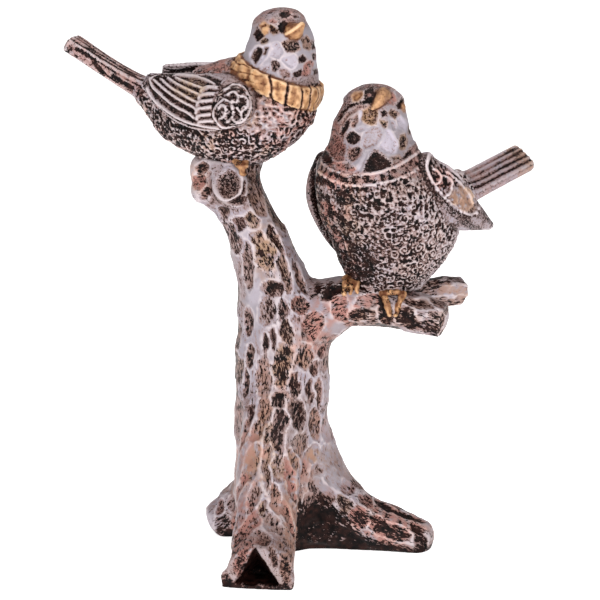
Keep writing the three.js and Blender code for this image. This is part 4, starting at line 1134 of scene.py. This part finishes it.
# The left wing as it shows: its rim, five arcs of feathers over a stippled panel, and a bevel dark at its
# lower edge.
WING_RIM = "430,153 427,165 430,177 438,190 450,203 463,212 475,214 480,207"
ARCS = ("433,169 438,171 441,176 440,181 436,185", "441,175 448,177 452,183 451,191 447,196",
        "440,161 452,170 466,184 474,197", "447,172 458,181 467,192 472,203",
        "436,158 450,166 465,179 477,196")
PANEL = "430,155 440,160 455,170 468,182 477,196 479,206 474,213 463,211 450,202 438,189 430,177 428,165"
BEVEL_EDGE = "438,196 450,209 464,222 478,229"
on = part_of == "left_wing"
in_panel = within(view, PANEL) & on & (facing > .15)
drawn = np.maximum(lines_near(view, [WING_RIM], 1), lines_near(view, ARCS, .7)) * on * facing
fine = mottle(points, 1.1, 82)
height = np.where(in_panel, -.8 + .5 * rise(fine, .4, .65), height)
bare = np.where(in_panel, rise(fine, .62, .42) * .9, bare)
bevel = on & (facing > .15) & ~in_panel & (drawn < .2)
height = np.where(bevel, 0, height)
dark = .3 + .8 * rise(mottle(points, 5, 83), .35, .7) + .9 * lines_near(view, [BEVEL_EDGE], 2.2)
bare, pearl = np.where(bevel, dark, bare), np.where(bevel, .42, pearl)
height += drawn * np.where(in_panel, 1.1, .5)
bare *= 1 - drawn
speckled = in_panel * soft_spot(view, 67.8, 41.5, 1, 7.5, 4)
height += .35 * speckled
bare *= 1 - .95 * speckled
pearl = np.maximum(pearl, .4 * speckled)
tints[:, :2] = np.maximum(tints[:, :2], np.stack([speckled, .35 * speckled], 1))
tints[:, 1] = np.maximum(tints[:, 1], .8 * in_panel * soft_spot(view, 58, 50, 1, 7, 3))

# The right wing's edge lies in shadow against the breast, and the breast is pearl on its other side.
WING_SHADOW = "319,154 314,172 313,190 316,208 324,228 335,248 344,264"
right_edge = part_of == "right_wing"
tints[:, 1] = np.where(right_edge, .4, tints[:, 1])
shadow = lines_near(view, [WING_SHADOW], 2.2) * (right_edge | belly) * (facing > 0)
bare = np.maximum(bare, 1.25 * shadow)
pearl = np.maximum(pearl, belly * .45 * rise(view[:, 0], 42, 56) * rise(mottle(points, 5, 87), .3, .7))

# The tail: ridges along it, dark below and towards its tip.
on = part_of == "tail"
share, w = across_wing(lower["tail"][0], points[on])
quills = ridge(w, .38, 1.3)
height[on] += .6 * (quills - .6)
dark = .9 * mottle(points[on], 5, 84) + .6 * rise(w, -.3, .4) - .5 * rise(share, .62, .45)
tip = .5 * rise(share, .86, .95) * rise(mottle(points[on], 2.4, 89), .4, .6)
bare[on] = (rise(1 - quills, .35, .75) * dark + tip) * rise(w, .96, .86)
pearl[on] = .35 * rise(w, .1, -.3) * rise(share, .9, .7)
tints[on, 0] = rise(share, .75, .95) * .7
tints[on, 1] = .3

# The gilded beak and eyes.
gold = np.isin(part_of, ["beak", "left_eye", "right_eye"])
tints[gold] = (.6, .2, .85)
bare[gold] = .4 * rise(mottle(points[gold], 1.5, 88), .5, .8)
rubbed = (rubbed - .8 * gold + .7 * edge + 1.1 * drawn
          + .5 * belly * rise(curl, .5, .9) * rise(view[:, 0], 36, 52))
paints = {"bare": bare, "tints": tints, "pearl": pearl, "rubbed": rubbed}
finish_bird("lower_bird", lower_clay, height, paints, 85)


# The claws
# Toes that grip the branch and the trunk under each bird. In the real figurine they are cast with the birds
# and the stump, and gilded by hand.
CLAW_GRAIN = .3


def toe(start, stop, thick):
    """A toe bent over the wood, thinner at its tip."""
    middle = [(a + b) / 2 + bend for a, b, bend in zip(start, stop, (0, -1, .8))]
    return limb([(*start, thick, thick), (*middle, thick, thick), (*stop, thick * .6, thick * .6)], (1, 0, 0),
                domes=(1, 1), sides=24, per_station=8)


toes = [toe((x, -15.5, 112.6), (.3 * x + 26.2, -19.4, 104.6), 1.35) for x in (33.4, 42.2)]
toes.append(toe((33.2, -15.8, 112), (42.6, -15.6, 112.4), 1.3))
toes += [toe((x, -8, 117), (x - .4, -13.5, 112), 1.3) for x in (18.5, 21, 23.5)]
toes += [toe((x, -11, z), (-23, -12.5, claw), 1.7)
         for x, z, claw in ((-25.6, 166.5, 161), (-22.4, 166, 160.5))]
points, quads = skin(clay({f"toe_{k}": (part, .8) for k, part in enumerate(toes)}, CLAW_GRAIN))
points = points + normals_of(points, quads) * ((mottle(points, 1.6, 91) - .5) * 1.1)[:, None]
gold = np.tile([0, 0, 1.0], (len(points), 1))
moulding("claws", points, quads, paint(
    points, quads, .9 * rise(mottle(points, 1.8, 92), .5, .75), gold, np.zeros(len(points)),
    np.full(len(points), -.6), points), plumage)

# Where it stands
# A plain white floor that runs past the picture's edges, three soft lamps and the camera, as for a
# catalogue picture. None of it is part of the figurine.
FLOOR_REACH = 15  # in metres, from the middle to each edge
floor_mesh = bpy.data.meshes.new("floor")
corners = [(x * FLOOR_REACH, y * FLOOR_REACH, 0) for x, y in ((-1, -1), (1, -1), (1, 1), (-1, 1))]
floor_mesh.from_pydata(corners, [], [(0, 1, 2, 3)])
floor = bpy.data.objects.new("floor", floor_mesh)
bpy.context.scene.collection.objects.link(floor)
# Matt white paper, lit a little from within so that no grey edge or horizon shows: the eye sees only the
# soft shadow under the roots.
paper = bpy.data.materials.new("matt_white_paper")
paper.use_nodes = True
for socket, value in (("Base Color", hex_colour("f4f4f4")), ("Roughness", .9),
                      ("Emission Color", hex_colour("ffffff")), ("Emission Strength", .8)):
    paper.node_tree.nodes["Principled BSDF"].inputs[socket].default_value = value
floor_mesh.materials.append(paper)

world = bpy.data.worlds.new("studio")
bpy.context.scene.world = world
world.use_nodes = True
world.node_tree.nodes["Background"].inputs["Color"].default_value = hex_colour("ffffff")
world.node_tree.nodes["Background"].inputs["Strength"].default_value = .42
bpy.context.scene.view_settings.view_transform = "Standard"


def softbox(name, place, aim, size, power):
    lamp = bpy.data.lights.new(name, "AREA")
    lamp.shape, lamp.size, lamp.energy = "DISK", size, power
    box = bpy.data.objects.new(name, lamp)
    box.location = place
    box.rotation_euler = (Vector(aim) - Vector(place)).to_track_quat("-Z", "Y").to_euler()
    bpy.context.scene.collection.objects.link(box)


softbox("key", (.35, -1.1, .7), (0, 0, .11), .6, 8.2)
softbox("fill", (-.8, -.8, .5), (0, 0, .11), .8, 2.8)
softbox("top", (0, .1, 1.2), (0, 0, .1), .9, 4)

LENS, FILM_WIDTH = 159.72, 36  # in millimetres
camera = bpy.data.objects.new("camera", bpy.data.cameras.new("camera"))
eye, target = (EYE + FOOT_TO_MIDDLE) / 1000, (AIM + FOOT_TO_MIDDLE) / 1000
camera.location = eye
camera.rotation_euler = Vector(target - eye).to_track_quat("-Z", "Y").to_euler()
camera.data.lens, camera.data.sensor_width = LENS, FILM_WIDTH
camera.data.clip_start, camera.data.clip_end = .05, 60
bpy.context.scene.collection.objects.link(camera)
bpy.context.scene.camera = camera
